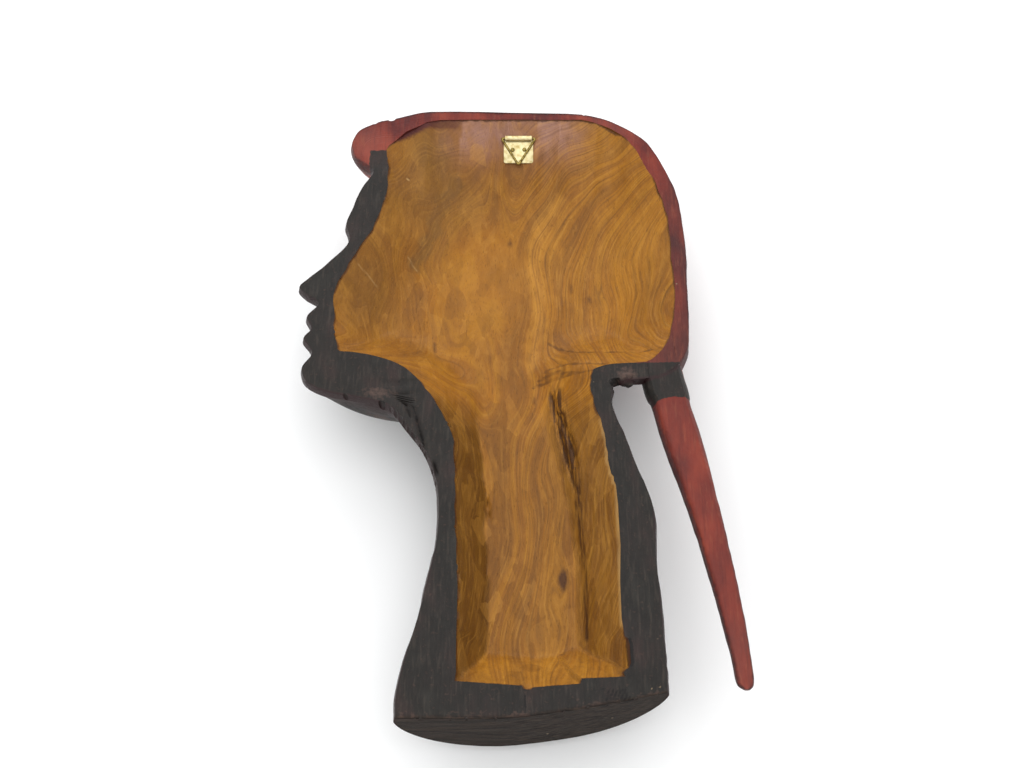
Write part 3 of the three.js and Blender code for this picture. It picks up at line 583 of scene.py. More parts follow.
def hollow_depth(x, z):
    """Depth of the hollow below the flat back; its walls run on rising past its edges."""
    from_middle = np.hypot((x - BOWL_X) / BOWL_HALF_WIDTH, (z - BOWL_Z) / BOWL_HALF_HEIGHT)
    depth = soft_max(BOWL_FLOOR - BOWL_RISE * from_middle ** 2, TROUGH_FLOOR, 3)
    trough = smooth((TROUGH_FROM - z) / TROUGH_BLEND)
    depth += (TROUGH_FLOOR - depth) * trough
    scoops = tool_marks(x / SCOOP_WIDTH, z / SCOOP_LENGTH, 7) * (1 - trough)
    flats = tool_marks(x / FLAT_WIDTH, z / FLAT_LENGTH, 8) * trough
    cuts = tool_marks((x + 0.25 * z) / CUT_WIDTH, z / CUT_LENGTH, 11) * (1 - 0.6 * trough)
    depth = depth - SCOOP * scoops - FLAT * flats - CUT * cuts + 0.25 * ripple(24, 53, x, 0.4 * z)
    front_slope = 0.85 + 0.65 * smooth((-190 - z) / 30)
    back_slope = 0.72 + 0.2 * smooth((-170 - z) / 16) + 0.16 * smooth((-240 - z) / 100)
    blend = 2.5 + 5 * smooth((z + 205) / 50)
    below_top = (z < hollow_top[-1, 1]) | ((z < HOLLOW_TOP) & (x < value_at(hollow_top[1:], z)))
    above_end = z > np.interp(-x, -hollow_end[:, 0], hollow_end[:, 1])
    for edge, inside, slope in [
        (hollow_top, below_top, math.tan(SEAT_SLOPE)),
        (hollow_front[::3], x < value_at(hollow_front, z), front_slope),
        (hollow_back[::3], x > value_at(hollow_back, z), back_slope),
        (hollow_end, above_end, 1),
    ]:
        distance = distance_to(edge, x, z) * np.where(inside, 1, -1)
        wander = 0.3 * ripple(15, 54, x, 0.3 * z) * smooth(distance / 4)
        depth = soft_min(depth, slope * (distance + wander), np.minimum(blend, 1 + np.maximum(distance, 0)))
    upper_wall = smooth((z + 42) / 12) * smooth((HOLLOW_TOP - z) / 6)
    between_ridges = np.abs(np.sin(math.pi * ridge_count(x, z)))
    depth += FACET * upper_wall * (between_ridges - 0.6)
    ragged = 0.7 * ripple(5, 55, x, z)
    for cut in left_cuts:
        depth += 0.9 * groove(distance_to(cut, x, z) + 0.5 * ragged, 0.8) * (1 + 0.5 * ragged)
    torn = smooth((z - SPLIT_TORN_TO) / 30)
    for strand in split_strands:
        near = groove(distance_to(strand, x, z) + (0.2 + 0.4 * torn) * ragged, 0.6 + 0.9 * torn)
        depth += (0.2 + 2 * torn) * near * (1 + 0.4 * ragged)
    for check in floor_checks:
        depth += 0.5 * groove(distance_to(check[::4], x, z) + 0.3 * ragged, 0.7)
    return HOLLOW_LIP + depth


# The hollow is cut out with a body that has this relief below. It stands well clear of the flat back
# and is first trimmed to the knife's outline.
RELIEF_FRONT, RELIEF_BACK = 120, -106
ABOVE_BACK = 9
hollow_z = heights_through(HOLLOW_TOP + 6, [(-45, 1.5), (-170, 1.7), (HOLLOW_END - 8, 1.5)])[:, None]
across_bands = [(29, 1.7), (14, 1.1), (-14, 1.7), (-40, 0.9), (RELIEF_BACK, 1.7)]
hollow_x = heights_through(RELIEF_FRONT, across_bands)[None]
hollow_y = np.minimum(-hollow_depth(hollow_x, hollow_z), ABOVE_BACK - 1)
side = np.full_like(hollow_z, ABOVE_BACK)
loop_x = np.hstack([
    np.full_like(hollow_z, RELIEF_FRONT), np.broadcast_to(hollow_x, hollow_y.shape),
    np.full_like(hollow_z, RELIEF_BACK),
])
loop_y = np.hstack([side, hollow_y, side])
relief = tube_mesh("hollow_relief", np.stack([loop_x, loop_y, np.broadcast_to(hollow_z, loop_x.shape)], -1))


def at_depth(points, y):
    """A loop of (x, z) points, all at one y."""
    return np.column_stack([points[:, 0], np.full(len(points), y), points[:, 1]])


trim = tube_mesh("hollow_trim", np.stack([at_depth(hollow_outline, y) for y in (ABOVE_BACK - 2, -60)]))

# The collar and the plait are carved in one with the block, the plait with long knife
# facets down to a worn tip. Its flattened back lies in the plane of the sawn back at the
# collar and draws forward of it on the way down.
COLLAR_END = -200
PLAIT_TIP_X, PLAIT_TIP_Z = -124.6, -383
PLAIT_HALF_WIDTH, PLAIT_HALF_DEPTH = 12.4, 11
PLAIT_FLAT_BACK = 0.72
PLAIT_LIFT, PLAIT_LIFT_BLEND = 2, 120
PLAIT_FACETS, FACET_SHARE = 9, 0.04
PLAIT_SIDES = 54
plait_middle = line_through([
    (-89, -160), (-88.6, -182), (-91.6, -198), (-97, -222), (-103.8, -252), (-110.7, -284), (-118.9, -331),
    (-123.4, -366), (PLAIT_TIP_X, PLAIT_TIP_Z),
])
plait_half = line_through([
    (10, -160), (13, -180), (13.4, COLLAR_END + 1), (12.5, COLLAR_END - 1.5), (12.4, -225), (11.3, -252),
    (9.3, -284), (7.5, -331), (5.8, -366), (5.3, -376), (4.2, -380.5), (1.8, PLAIT_TIP_Z),
])
plait_z = heights_through(-166, [(-196, 2), (-204, 0.8), (-364, 2), (PLAIT_TIP_Z, 0.8)])[:, None]
half = value_at(plait_half, plait_z) + 0.15 * ripple(50, 61, plait_z) - 0.1
plait_depth = PLAIT_HALF_DEPTH * half / PLAIT_HALF_WIDTH
behind = -PLAIT_LIFT * smooth((COLLAR_END - plait_z) / PLAIT_LIFT_BLEND)
turn = 2 * math.pi * (np.arange(PLAIT_SIDES)[None] + 0.5) / PLAIT_SIDES
facet_middle = np.abs(np.sin(PLAIT_FACETS / 2 * (turn + 0.001 * plait_z)))
facet = 1 - FACET_SHARE * facet_middle * smooth((COLLAR_END - plait_z) / 8)
backward = np.minimum(np.cos(turn) * facet, PLAIT_FLAT_BACK)
plait_y = behind + plait_depth * (backward - PLAIT_FLAT_BACK)
plait_y -= 0.2 * ripple(16, 63, turn, plait_z).clip(0, 1)
plait_x = value_at(plait_middle, plait_z) + half * np.sin(turn) * facet
plait_x += 0.08 * ripple(12, 62, plait_x, plait_z)
plait = tube_mesh("plait", np.stack([plait_x, plait_y, np.broadcast_to(plait_z, plait_x.shape)], -1))


def pebbles(name, bodies, uneven):
    """One object of closed, slightly uneven ovals, each by its middle and its half sizes in millimetres."""
    shape = bmesh.new()
    for number, (middle, halves) in enumerate(bodies):
        made = bmesh.ops.create_icosphere(shape, subdivisions=3, radius=1)
        for corner in made["verts"]:
            place = Vector(middle) + Vector([a * b for a, b in zip(corner.co, halves)])
            place += corner.co * uneven * float(ripple(4, 71 + number, *place))
            corner.co = place * MM
    mesh = bpy.data.meshes.new(name)
    shape.to_mesh(mesh)
    shape.free()
    made = bpy.data.objects.new(name, mesh)
    scene.collection.objects.link(made)
    return made


# Under the nape the knife left a small knob of wood between two pockets.
pocket_bodies = [((-59.5, -3, -191.5), (4.6, 7, 3.4)), ((-73.5, -4, -194.5), (4.2, 7, 3.2))]
pockets = pebbles("pockets", pocket_bodies, 0.4)
knob = pebbles("knob", [((-66, -3.2, -187), (6, 4.2, 6))], 0.5)

# Old nicks along the edges: small notches in the top and the back of the hair, torn ones under the jaw and
# along the foot, each cut with a small uneven body.
chance = np.random.default_rng(9)
nick_places = [
    (98.2, 12.4, 2.6), (86.6, 15, 3), (76.5, 18.4, 1.6), (-45, 18.7, 1.8), (-109.5, -122.4, 2.1),
    (-108.9, -136, 1.4), (-108.6, -154.3, 2.3), (-105.8, -171.5, 2.4),
]
for z_place in np.linspace(-202, -268, 18) + chance.uniform(-1.5, 1.5, 18):
    nick_places.append((float(value_at(front_edge, z_place)) + 1, z_place, chance.uniform(1.3, 2.9)))
for x_place in np.linspace(60, -74, 15) + chance.uniform(-4, 4, 15):
    nick_places.append((x_place, float(to_foot(x_place, FOOT)) - 0.5, chance.uniform(0.7, 1.5)))
nick_bodies = [((x, 0.3, z), (radius, 4 * radius, radius)) for x, z, radius in nick_places]
nicks = pebbles("nicks", nick_bodies, 0.15)

# All of it is one piece of wood, painted outside and bare and oiled in the hollow. Every body carries both
# finishes, the paint first, and what the hollow's bodies cut is bare.
BARE = 1
oiled_wood, bare_tree = new_material("oiled_bare_wood")
painted_wood, painted_tree = new_material("painted_wood")
for piece in (block, relief, trim, plait, pockets, knob, nicks):
    piece.data.materials.append(painted_wood)
    piece.data.materials.append(oiled_wood)
for piece in (relief, trim):
    piece.data.polygons.foreach_set("material_index", np.full(len(piece.data.polygons), BARE))

for target, tool, operation in [
    (relief, trim, "INTERSECT"),
    (block, plait, "UNION"),
    (block, pockets, "DIFFERENCE"),
    (block, knob, "UNION"),
    (block, relief, "DIFFERENCE"),
    (block, nicks, "DIFFERENCE"),
]:
    cut = target.modifiers.new("cut", "BOOLEAN")
    cut.object = tool
    cut.operation = operation
    cut.solver = "MANIFOLD"
    evaluated = target.evaluated_get(bpy.context.evaluated_depsgraph_get())
    joined = bpy.data.meshes.new_from_object(evaluated)
    target.modifiers.clear()
    target.data = joined
    bpy.data.objects.remove(tool)
mesh = block.data
mesh.shade_smooth()
mesh.set_sharp_from_angle(angle=math.radians(38))

# What the grain follows, worked out at every point of the mesh. The tree's rings show as
# nested arches round the back of the bowl, close round a calm swirl beside them and run
# down the trough as upright lines past a knot.
GROWTH_X, GROWTH_Z = -200, -100
ARCH_RINGS = 190
SWIRL_X, SWIRL_REACH = 18, 34
KNOT_X, KNOT_Z = -25.8, -310.2
arch_reach = line_through([
    (-180, 190), (-60, 195), (-30, 212), (-19, 203), (-13.9, 195), (-7.4, 188), (-1.5, 188.5), (4.3, 191),
    (9.8, 191), (14.3, 188.5), (19, 183), (30.5, 168), (35, 160), (60, 150), (180, 190),
])
x, y, z = np.array([v.co for v in mesh.vertices]).T / MM
foot_z = to_foot(x, np.full_like(x, FOOT))
angle = np.degrees(np.arctan2(z - GROWTH_Z, x - GROWTH_X))
reach = np.hypot(x - GROWTH_X, z - GROWTH_Z)
arch = np.interp(angle, arch_reach[:, 0], arch_reach[:, 1])
head_growth = np.where(reach < arch, ARCH_RINGS * reach / arch, ARCH_RINGS + reach - arch)
neck_growth = ARCH_RINGS + 0.8 * (x + 8) + 0.06 * z + 7 * mound(x - 8, z + 262, 26, 70)
from_swirl = np.hypot(x - SWIRL_X, (z - GROWTH_Z) / 1.4) + 2.4 * ripple(46, 87, x, z)
swirl_growth = ARCH_RINGS + SWIRL_REACH - np.hypot(from_swirl, 12)
head_growth += (swirl_growth - head_growth) * smooth((x + 2) / 26)
growth = head_growth + (neck_growth - head_growth) * smooth((-150 - z) / 70)
growth += 0.35 * (y - (y + TROUGH_FLOOR) * smooth((-346 - z) / 8))
growth += 3 * ripple(60, 81, x, 0.6 * z) + 1.1 * ripple(24, 82, x, 0.5 * z)
growth += 5 * mound(x - KNOT_X, z - KNOT_Z, 9, 26)
across = np.abs(np.array([v.normal.x for v in mesh.vertices]))
trough_wall = smooth((across - 0.3) / 0.3) * smooth((-190 - z) / 30)
growth += trough_wall * (x < -10) * (0.5 * (x + 35) + 0.12 * z)
calm = mound(x - SWIRL_X - 6, z - GROWTH_Z, 42, 66)
figure = 0.55 + 0.45 * smooth((14 - x) / 34) + 0.3 * smooth((-190 - z) / 40)
figure = figure * (1 - 0.9 * smooth(2 * calm))

# How far inside the red paint of the hair each point lies. The red ends along the hairline on the carved
# side and above the nape and round the tuft on the flat rim. The collar is black, the plait below it red.
NAPE_RED = -177.5
TUFT_RED = -12.8
rim_share = smooth(1 + y / 12)
on_hair = distance_to(hairline[::4], x, z) * np.where(z > value_at(hairline_by_x, x), 1, -1)
tuft_reach = np.maximum(z - TUFT_RED, np.minimum(x - TUFT_X - 1, z - BRIM_Z + 3))
tuft_reach = np.maximum(tuft_reach, np.minimum(88 - x, z + 14))
on_rim = np.where(x > 0, tuft_reach, z - NAPE_RED)
red_reach = on_hair + (on_rim - on_hair) * rim_share
collar_line = COLLAR_END - 2 - 4.5 * smooth((x + 92) / 14)
on_plait = (z < COLLAR_END + 10) & (x < value_at(back_edge, z) - 8)
red_reach = np.where(on_plait, collar_line - z, red_reach)

# Distances to the dark cracks and cuts, to the chipped notch above the foot, whose strip is painted near
# black as the shadow in it, and to the fine drying checks.
from_crack_and_chip_shadow = np.full(x.shape, 99.0)
rasp_scratches = [line_through([(scratch_x, -383.5), (scratch_x - 5, -391)])
                  for scratch_x in np.linspace(-40, -57, 8)]
for crack in [*left_cuts, *split_strands, *jaw_cuts, seam, *rasp_scratches]:
    from_crack_and_chip_shadow = np.minimum(from_crack_and_chip_shadow, distance_to(crack[::3], x, z))
# the chipped notch above the foot gets a near-black strip, the painted shadow in it
chip_shadow_line = line_through([(-60.6, -356), (-60.8, -371)])
from_crack_and_chip_shadow = np.minimum(from_crack_and_chip_shadow, distance_to(chip_shadow_line[::3], x, z) - 1.6)
from_crack_and_chip_shadow += 0.6 * smooth((SPLIT_TORN_TO - z) / 30) * (y < -2)
from_check = np.full(x.shape, 99.0)
for check in floor_checks:
    from_check = np.minimum(from_check, distance_to(check[::3], x, z))
split_width = 1.6 + 4 * smooth((z - SPLIT_TORN_TO) / 30)
torn = smooth(1.3 - distance_to(split_strands[0][::3], x + 2, z) / split_width)

# Pale spots and two pale scratches, the knot and the dark flecks in the hollow.
pale = np.zeros_like(x)
pale_spots = [(74.1, -30, 1.5), (-76.8, -354.6, 2), (-72.1, -383.6, 2), (-76.5, -382.5, 2)]
for spot_x, spot_z, half_size in pale_spots:
    pale = np.maximum(pale, mound(x - spot_x, z - spot_z, half_size, half_size))
for scratch in [[(103.2, -102.2), (90.5, -112.4)], [(73.6, -84.9), (67.2, -92.9)]]:
    pale = np.maximum(pale, 0.4 * smooth(1.1 - distance_to(np.array(scratch), x, z)))
dark = 1.2 * mound(x - KNOT_X, z - KNOT_Z, 4.5, 11)
for fleck_x, fleck_z in [(-34.7, -105.3), (-53.1, -108.5), (-46.7, -113.2), (5.7, -68.7), (-9.6, -189.9)]:
    dark = np.maximum(dark, 0.5 * mound(x - fleck_x, z - fleck_z, 2.8, 7))

# How much browner (above 0) or brighter (below 0) than the rest the bare wood is painted: a wavy
# brown line and a bright line down the bowl, patches, each by its middle, half sizes and
# amount, and the end wall above the foot, painted lighter as light from the head end falls on it.
wavy_line = line_through([(42.1, -28.3), (53.8, -48.9), (58.2, -66), (64.4, -80.9), (69.2, -92.2)])
tone_and_painted_light = 0.8 * smooth(1.2 - distance_to(wavy_line[::3], x + ripple(14, 84, z), z) / 5)
# The patch at x 56, z -2, on the upper wall near its front corner, is painted shade there.
for patch_x, patch_z, half_x, half_z, amount in [
    (62, -40, 80, 64, 0.8), (100, -112, 44, 70, 0.9), (56, -2, 26, 34, 0.7), (-78, -85, 40, 66, -0.55),
    (-56, -6, 38, 44, -0.6), (-18, -75, 26, 60, -0.5),
]:
    tone_and_painted_light += amount * mound(x - patch_x, z - patch_z, half_x, half_z)
bright_line = line_through([
    (-27, -40), (-17, -53), (-12, -67), (-9, -86), (-12, -105), (-14, -124), (-11, -147), (-8, -166),
])
from_bright = distance_to(bright_line[::4], x + 1.2 * ripple(16, 85, z), z)
tone_and_painted_light = tone_and_painted_light - 0.9 * smooth(1 - from_bright / 7) - 0.35 * smooth(1.5 * calm)
tone_and_painted_light += 0.3 * smooth((-186 - z) / 40)
# the end wall above the foot, painted lighter as light from the head end falls on it
end_wall_painted_light = smooth((-352 - z) / 14) * smooth((44 - np.abs(x + 10)) / 14)
tone_and_painted_light = np.maximum(tone_and_painted_light, -1) - 0.7 * end_wall_painted_light

# Each facet of the upper wall gets a painted light of its own, which fades across it: the light and shade of
# the facets painted into the colour. The trough's side walls are darker by painted shade, more on the face
# side than on the other, and the gouge's cuts show least at the back of the bowl.
facet_painted_lights = np.array([0.25, 0.75, 0.85, 0.55, 0.65, 0.3, 0, 0, 0])
facet_place = ridge_count(x, z)
facet_painted_light = facet_painted_lights[np.floor(facet_place).astype(int)] * (1.2 - 0.6 * (1 - facet_place % 1))
facet_painted_light = facet_painted_light * smooth((z + 24) / 26)
# where the upper wall's pinkish tone and its painted sheen lie
upper_wall = smooth((z + 34) / 40) * smooth((63 - np.abs(x - 4)) / 34)
# painted shade on the trough's side walls, found from which way they face
trough_painted_shade = trough_wall * np.where(x > 0, 1, 0.6)
cut_marks = 1 - 0.75 * smooth((-4 - x) / 20) * smooth((z + 190) / 30)

# Wear of the paint: the red is faded on the tuft, the crown and the plait and dull low down on the hair. The
# black is rubbed at the nape, the throat and the foot, whose sawn end shows the grain; the knob at the nape
# is lightened further as a painted highlight.
worn = mound(x - TUFT_X - 3, z - TUFT_Z, 24, 24) + 0.5 * mound(x + 60, z - 6, 40, 20)
worn += 0.3 * smooth((COLLAR_END - z) / 10) + 0.3 * smooth((-330 - z) / 30) * (x < -100)
low_end = (smooth((-130 - z) / 60) + 0.5 * smooth((-30 - z) / 30)) * (z > NAPE_RED - 4)
foot_wear = groove(z - foot_z, 2) * (0.5 + 0.5 * ripple(9, 86, x, y))
# on the knob under the nape this is partly a painted highlight; at the throat it is rubbed paint
scuffed_and_highlit = 0.7 * mound(x + 66, z + 186, 10, 9) + 0.6 * mound(x - 86, z + 199, 14, 7)
scuffed_and_highlit = np.maximum(scuffed_and_highlit, 0.9 * foot_wear)
end_grain = smooth((foot_z + 1.2 - z) / 0.8)

# Distances to the outline and to the edge of the hollow, for the darkened rim, partly worn to the black and
# partly painted shade where the sides turn away, and the hollow's lip, darkened as painted shade. Near the
# forehead some red paint ran over that edge, and there it is painted darker as the shadow under the steep
# wall.
from_outline = distance_to(outline, x, z)
plait_edge = value_at(plait_half, z) - np.abs(x - value_at(plait_middle, z))
from_outline = np.where(on_plait & (z < COLLAR_END), plait_edge, from_outline)
from_hollow = distance_to(np.vstack([hollow_outline, hollow_outline[:1]]), x, z)
right_edge = smooth((-212 - z) / 10) * smooth((z + 352) / 8) * (x < -30)
pale = np.maximum(pale, 0.55 * right_edge * smooth(1.7 - from_hollow))
from_hollow += 3 * right_edge
paint_edge = line_through([
    (88, -9), (86.8, -7.4), (80.3, -3.2), (73.8, 1), (67, 4.5), (61.6, 6.9), (49.5, 8.4), (38.5, 7.2),
    (30, 8),
])
overrun_and_shade = smooth((z - np.interp(-x, -paint_edge[:, 0], paint_edge[:, 1]) + 1.5) / 3) * (x < 88)
overrun_and_shade = overrun_and_shade * (0.7 * smooth((x - 34) / 12) + 0.3 * smooth((x - 52) / 12))

for name, values in dict(
    growth=growth, figure=np.clip(figure, 0, 1), red_reach=red_reach, from_outline=from_outline,
    combing=combing(x, z), from_hollow=from_hollow, from_crack_and_chip_shadow=from_crack_and_chip_shadow, from_check=from_check, torn=torn,
    pale_marks=pale, dark_marks=dark, upper_wall=upper_wall, facet_painted_light=np.clip(facet_painted_light, 0, 1),
    tone_and_painted_light=tone_and_painted_light, trough_painted_shade=trough_painted_shade, cut_marks=cut_marks, overrun_and_shade=overrun_and_shade,
    end_grain=end_grain, worn=np.clip(worn, 0, 1), scuffed_and_highlit=scuffed_and_highlit, low_end=low_end,
).items():
    mesh.attributes.new(name, "FLOAT", "POINT").data.foreach_set("value", values)

# Bare oiled wood, satin from the oil. Thin dark rings and broad ochre and brown bands follow the growth,
# with fine upright fibres and pores over them; the upper wall is a cooler, pinkish brown, partly a painted
# sheen of reflected light, with painted light and shade on its facets.
RING_SPACING = 2.7
BAND_WIDTH = 13
FIBRE_WIDTH, FIBRE_LENGTH = 1.1, 22


def stretched(tree, place, across, along):
    """Coordinates for a pattern whose marks are so many millimetres wide and long, upright as the fibres."""
    scale = (1000 / across, 1000 / across, 1000 / along)
    return node(tree, "VectorMath", {0: place, 1: scale}, operation="MULTIPLY")


def marks(tree, place, across, along, detail):
    """Soft irregular marks, so many millimetres wide and long."""
    coordinates = stretched(tree, place, across, along)
    return node(tree, "TexNoise", {"Vector": coordinates, "Scale": 1, "Detail": detail})


def laid_over(tree, tone, colour, where, start, end, share=1.0, within=None):
    """Lay a colour over a tone, from none where a value is at start to its full share at end."""
    amount = node(tree, "MapRange", {"Value": where, "From Min": start, "From Max": end, "To Max": share})
    if within:
        amount = node(tree, "Math", {0: amount, 1: within}, operation="MULTIPLY")
    return node(tree, "Mix", {0: amount, 6: tone, 7: colour}, out=2, data_type="RGBA")


tree = bare_tree
place = node(tree, "TexCoord", out="Object")
at = {name: node(tree, "Attribute", out="Fac", attribute_name=name) for name in (
    "growth", "figure", "tone_and_painted_light", "trough_painted_shade", "upper_wall", "facet_painted_light", "cut_marks", "pale_marks",
    "dark_marks", "torn", "from_check", "from_crack_and_chip_shadow", "from_hollow", "overrun_and_shade")}

# broad bands of colour, with softer patches where the figure is calm, the browner and brighter parts with
# their painted shade and light, and the painted shade of the trough's side walls
sway = marks(tree, place, 12, 40, 2)
warped = node(tree, "Math", {0: sway, 1: 2, 2: at["growth"]}, operation="MULTIPLY_ADD")
band_place = node(tree, "Math", {0: warped, 1: 1 / BAND_WIDTH}, operation="MULTIPLY")
bands = node(tree, "TexNoise", {"W": band_place, "Scale": 1, "Detail": 2}, noise_dimensions="1D")
patches = marks(tree, place, 20, 42, 4)
band_share = node(tree, "Mix", {0: at["figure"], 2: patches, 3: bands}, data_type="FLOAT")
tone = node(tree, "ValToRGB", {"Fac": band_share}, stops=[
    (0.3, "#83531a"), (0.45, "#935d18"), (0.57, "#9f691a"), (0.7, "#8f5a1a"),
])
for layer in [
    ("#6a4418", marks(tree, place, 50, 80, 3), 0.46, 0.68, 0.35),
    ("#b47514", marks(tree, place, 26, 60, 2), 0.54, 0.7, 0.35),
    ("#594326", at["tone_and_painted_light"], 0, 1, 0.55),
    ("#bf8632", at["tone_and_painted_light"], 0, -2),
    ("#4a3214", at["trough_painted_shade"], 0, 1, 0.65),
]:
    tone = laid_over(tree, tone, *layer)

# the late wood of each ring, of its own strength, and the painted sheen and facet light of the upper wall
rings = node(tree, "Math", {0: warped, 1: 1 / RING_SPACING}, operation="MULTIPLY")
late_wood = node(tree, "ValToRGB", {"Fac": node(tree, "Math", {0: rings}, operation="FRACT")}, stops=[
    (spot, (grey, grey, grey, 1)) for spot, grey in ((0, 0.3), (0.25, 0), (0.6, 0.1), (0.88, 1), (1, 0.3))
])
ring_number = node(tree, "Math", {0: rings}, operation="FLOOR")
ring_strength = node(tree, "TexWhiteNoise", {"W": ring_number}, out="Value", noise_dimensions="1D")
ring_dark = node(tree, "Math", {0: late_wood, 1: ring_strength}, operation="MULTIPLY")
tone = laid_over(tree, tone, "#5c3a16", ring_dark, 0, 1, 0.5, at["figure"])
mottled = node(tree, "MapRange", {"Value": marks(tree, place, 9, 14, 4), "From Min": 0.35, "From Max": 0.6,
                                  "To Min": 0.55, "To Max": 0.9})
# the upper wall's pinkish brown, lit up by a painted sheen and by each facet's painted light
pinkish_sheen = laid_over(tree, "#7a503c", "#a67e72", at["facet_painted_light"], 0, 1)
tone = laid_over(tree, tone, pinkish_sheen, at["upper_wall"], 0, 1, 1, mottled)

# traces of scraping, the fibres and pores, and the small cuts of the gouge
scraped = marks(tree, place, 3.5, 9, 5)
grown = node(tree, "Math", {0: at["growth"], 1: 1 / FIBRE_WIDTH}, operation="MULTIPLY")
across_grain = node(tree, "CombineXYZ", {"X": grown})
along_grain = node(tree, "VectorMath", {0: place, 1: [1000 / FIBRE_LENGTH] * 3, 2: across_grain},
                   operation="MULTIPLY_ADD")
fibres = node(tree, "TexNoise", {"Vector": along_grain, "Scale": 1, "Detail": 4})
pores = node(tree, "MapRange", {"Value": marks(tree, place, 0.6, 3, 2), "From Min": 0.62, "From Max": 0.7,
                                "To Max": 0.35})
cut_place = node(tree, "VectorMath", {0: stretched(tree, place, 10, 19), 1: marks(tree, place, 9, 16, 2)})
cut_shades = node(tree, "TexVoronoi", {"Vector": cut_place, "Scale": 1}, out="Color")
for layer in [
    ("#6b4418", scraped, 0.54, 0.7, 0.25),
    ("#bd8636", scraped, 0.46, 0.3, 0.18),
    ("#5f3f1e", fibres, 0.5, 0.7, 0.4, at["figure"]),
    ("#c4903f", fibres, 0.48, 0.3, 0.24, at["figure"]),
    ("#452a13", pores, 0, 1),
    ("#6b4418", cut_shades, 0.55, 1, 0.34, at["cut_marks"]),
    ("#c08a3c", cut_shades, 0.4, 0, 0.24, at["cut_marks"]),
]:
    tone = laid_over(tree, tone, *layer)

# pale and dark spots, torn fibres, checks, cracks with the painted shadow of the chipped notch, and the lip
# painted dark as shade along the hollow's edge, all with ragged edges
ragged = marks(tree, place, 2.4, 6, 4)
ragged_dark = node(tree, "Math", {0: ragged, 1: 0.8, 2: at["dark_marks"]}, operation="MULTIPLY_ADD")
for layer in [
    ("#c9a56c", at["pale_marks"], 0.1, 0.7, 0.5),
    ("#3d2114", ragged_dark, 0.5, 1.2, 0.85),
    ("#3a2110", marks(tree, place, 1.5, 20, 4), 0.38, 0.56, 0.9, at["torn"]),
]:
    tone = laid_over(tree, tone, *layer)
wander = marks(tree, place, 4, 14, 4)
for distance, spread, colour, *ends_and_share in [
    ("from_check", 3, "#4a2c10", 2.7, 1.7, 0.6),
    ("from_crack_and_chip_shadow", 3.4, "#2e1a0d", 2.3, 1.6, 0.8),
    ("from_hollow", 3, "#40241a", 2.5, 1.7, 0.7),
]:
    wandering = node(tree, "Math", {0: wander, 1: spread, 2: at[distance]}, operation="MULTIPLY_ADD")
    tone = laid_over(tree, tone, colour, wandering, *ends_and_share)
# red paint run over the edge near the forehead, painted darker as the shadow under the steep wall there
tone = laid_over(tree, tone, "#4c201d", at["overrun_and_shade"], 0, 1)

rise = fibres
for pattern, height in [(pores, -0.8), (ragged, 0.6), (marks(tree, place, 5, 13, 3), 2.4)]:
    rise = node(tree, "Math", {0: pattern, 1: height, 2: rise}, operation="MULTIPLY_ADD")
uneven = node(tree, "Bump", {"Height": rise, "Strength": 0.7, "Distance": 0.35 * MM})
skin = node(tree, "BsdfPrincipled", {"Base Color": tone, "Roughness": 0.42, "Specular IOR Level": 0.18,
                                     "Normal": uneven})
node(tree, "OutputMaterial", {"Surface": skin})

# Paint on wood, satin and brushed on by hand: black on the face, jaw and neck, dark red on the hair and the
# plait. It is patchy and worn to brown on the edges, and the saw's fine marks show through it on the rim.
COMBED_LINES = 45
tree = painted_tree
place = node(tree, "TexCoord", out="Object")
at = {name: node(tree, "Attribute", out="Fac", attribute_name=name) for name in (
    "red_reach", "scuffed_and_highlit", "end_grain", "worn", "low_end", "from_outline", "pale_marks", "from_crack_and_chip_shadow",
    "combing")}
patches = marks(tree, place, 16, 34, 4)
streaks = marks(tree, place, 1.4, 24, 4)
grime = marks(tree, place, 2.5, 2.5, 5)
dusty = marks(tree, place, 2, 12, 5)

# black, rubbed to brown in places and lightened on the knob at the nape as a painted highlight, and dark end
# grain with the streaks of the saw at the foot
rubbed_and_highlit = node(tree, "Math", {0: grime, 1: 1.6, 2: at["scuffed_and_highlit"]}, operation="MULTIPLY_ADD")
lying = node(tree, "VectorRotate", {"Vector": place, "Angle": math.pi / 2}, rotation_type="Y_AXIS")
sawn = laid_over(tree, "#1a1512", "#372d26", marks(tree, lying, 1.1, 26, 4), 0.4, 0.65)
black = node(tree, "ValToRGB", {"Fac": patches}, stops=[
    (0.33, "#272420"), (0.45, "#1d1a17"), (0.55, "#231e1b"), (0.68, "#2f2320"),
])
for layer in [
    ("#4a4038", dusty, 0.52, 0.7, 0.3),
    ("#15100f", streaks, 0.48, 0.72, 0.4),
    ("#5a463e", rubbed_and_highlit, 0.95, 1.6, 0.85),
    (sawn, at["end_grain"], 0, 1),
]:
    black = laid_over(tree, black, *layer)

# dark red, faded where it was touched most and dull at the low end of the hair
crimson = node(tree, "ValToRGB", {"Fac": patches}, stops=[
    (0.32, "#47191a"), (0.46, "#62211b"), (0.58, "#73291e"), (0.7, "#833525"),
])
for layer in [
    ("#984f40", at["worn"], 0, 1, 0.5),
    ("#462d28", at["low_end"], 0, 1, 0.55),
    ("#8f5038", dusty, 0.55, 0.72, 0.3),
    ("#30171a", streaks, 0.5, 0.75, 0.35),
]:
    crimson = laid_over(tree, crimson, *layer)

# both together, with the dark edge of the outline, partly worn to the black and partly painted shade
# where the sides turn away, pale specks and spots, and the cracks
centred = node(tree, "Math", {0: marks(tree, place, 3, 3, 3), 1: -0.5}, operation="ADD")
red = node(tree, "Math", {0: centred, 1: 2.4, 2: at["red_reach"]}, operation="MULTIPLY_ADD")
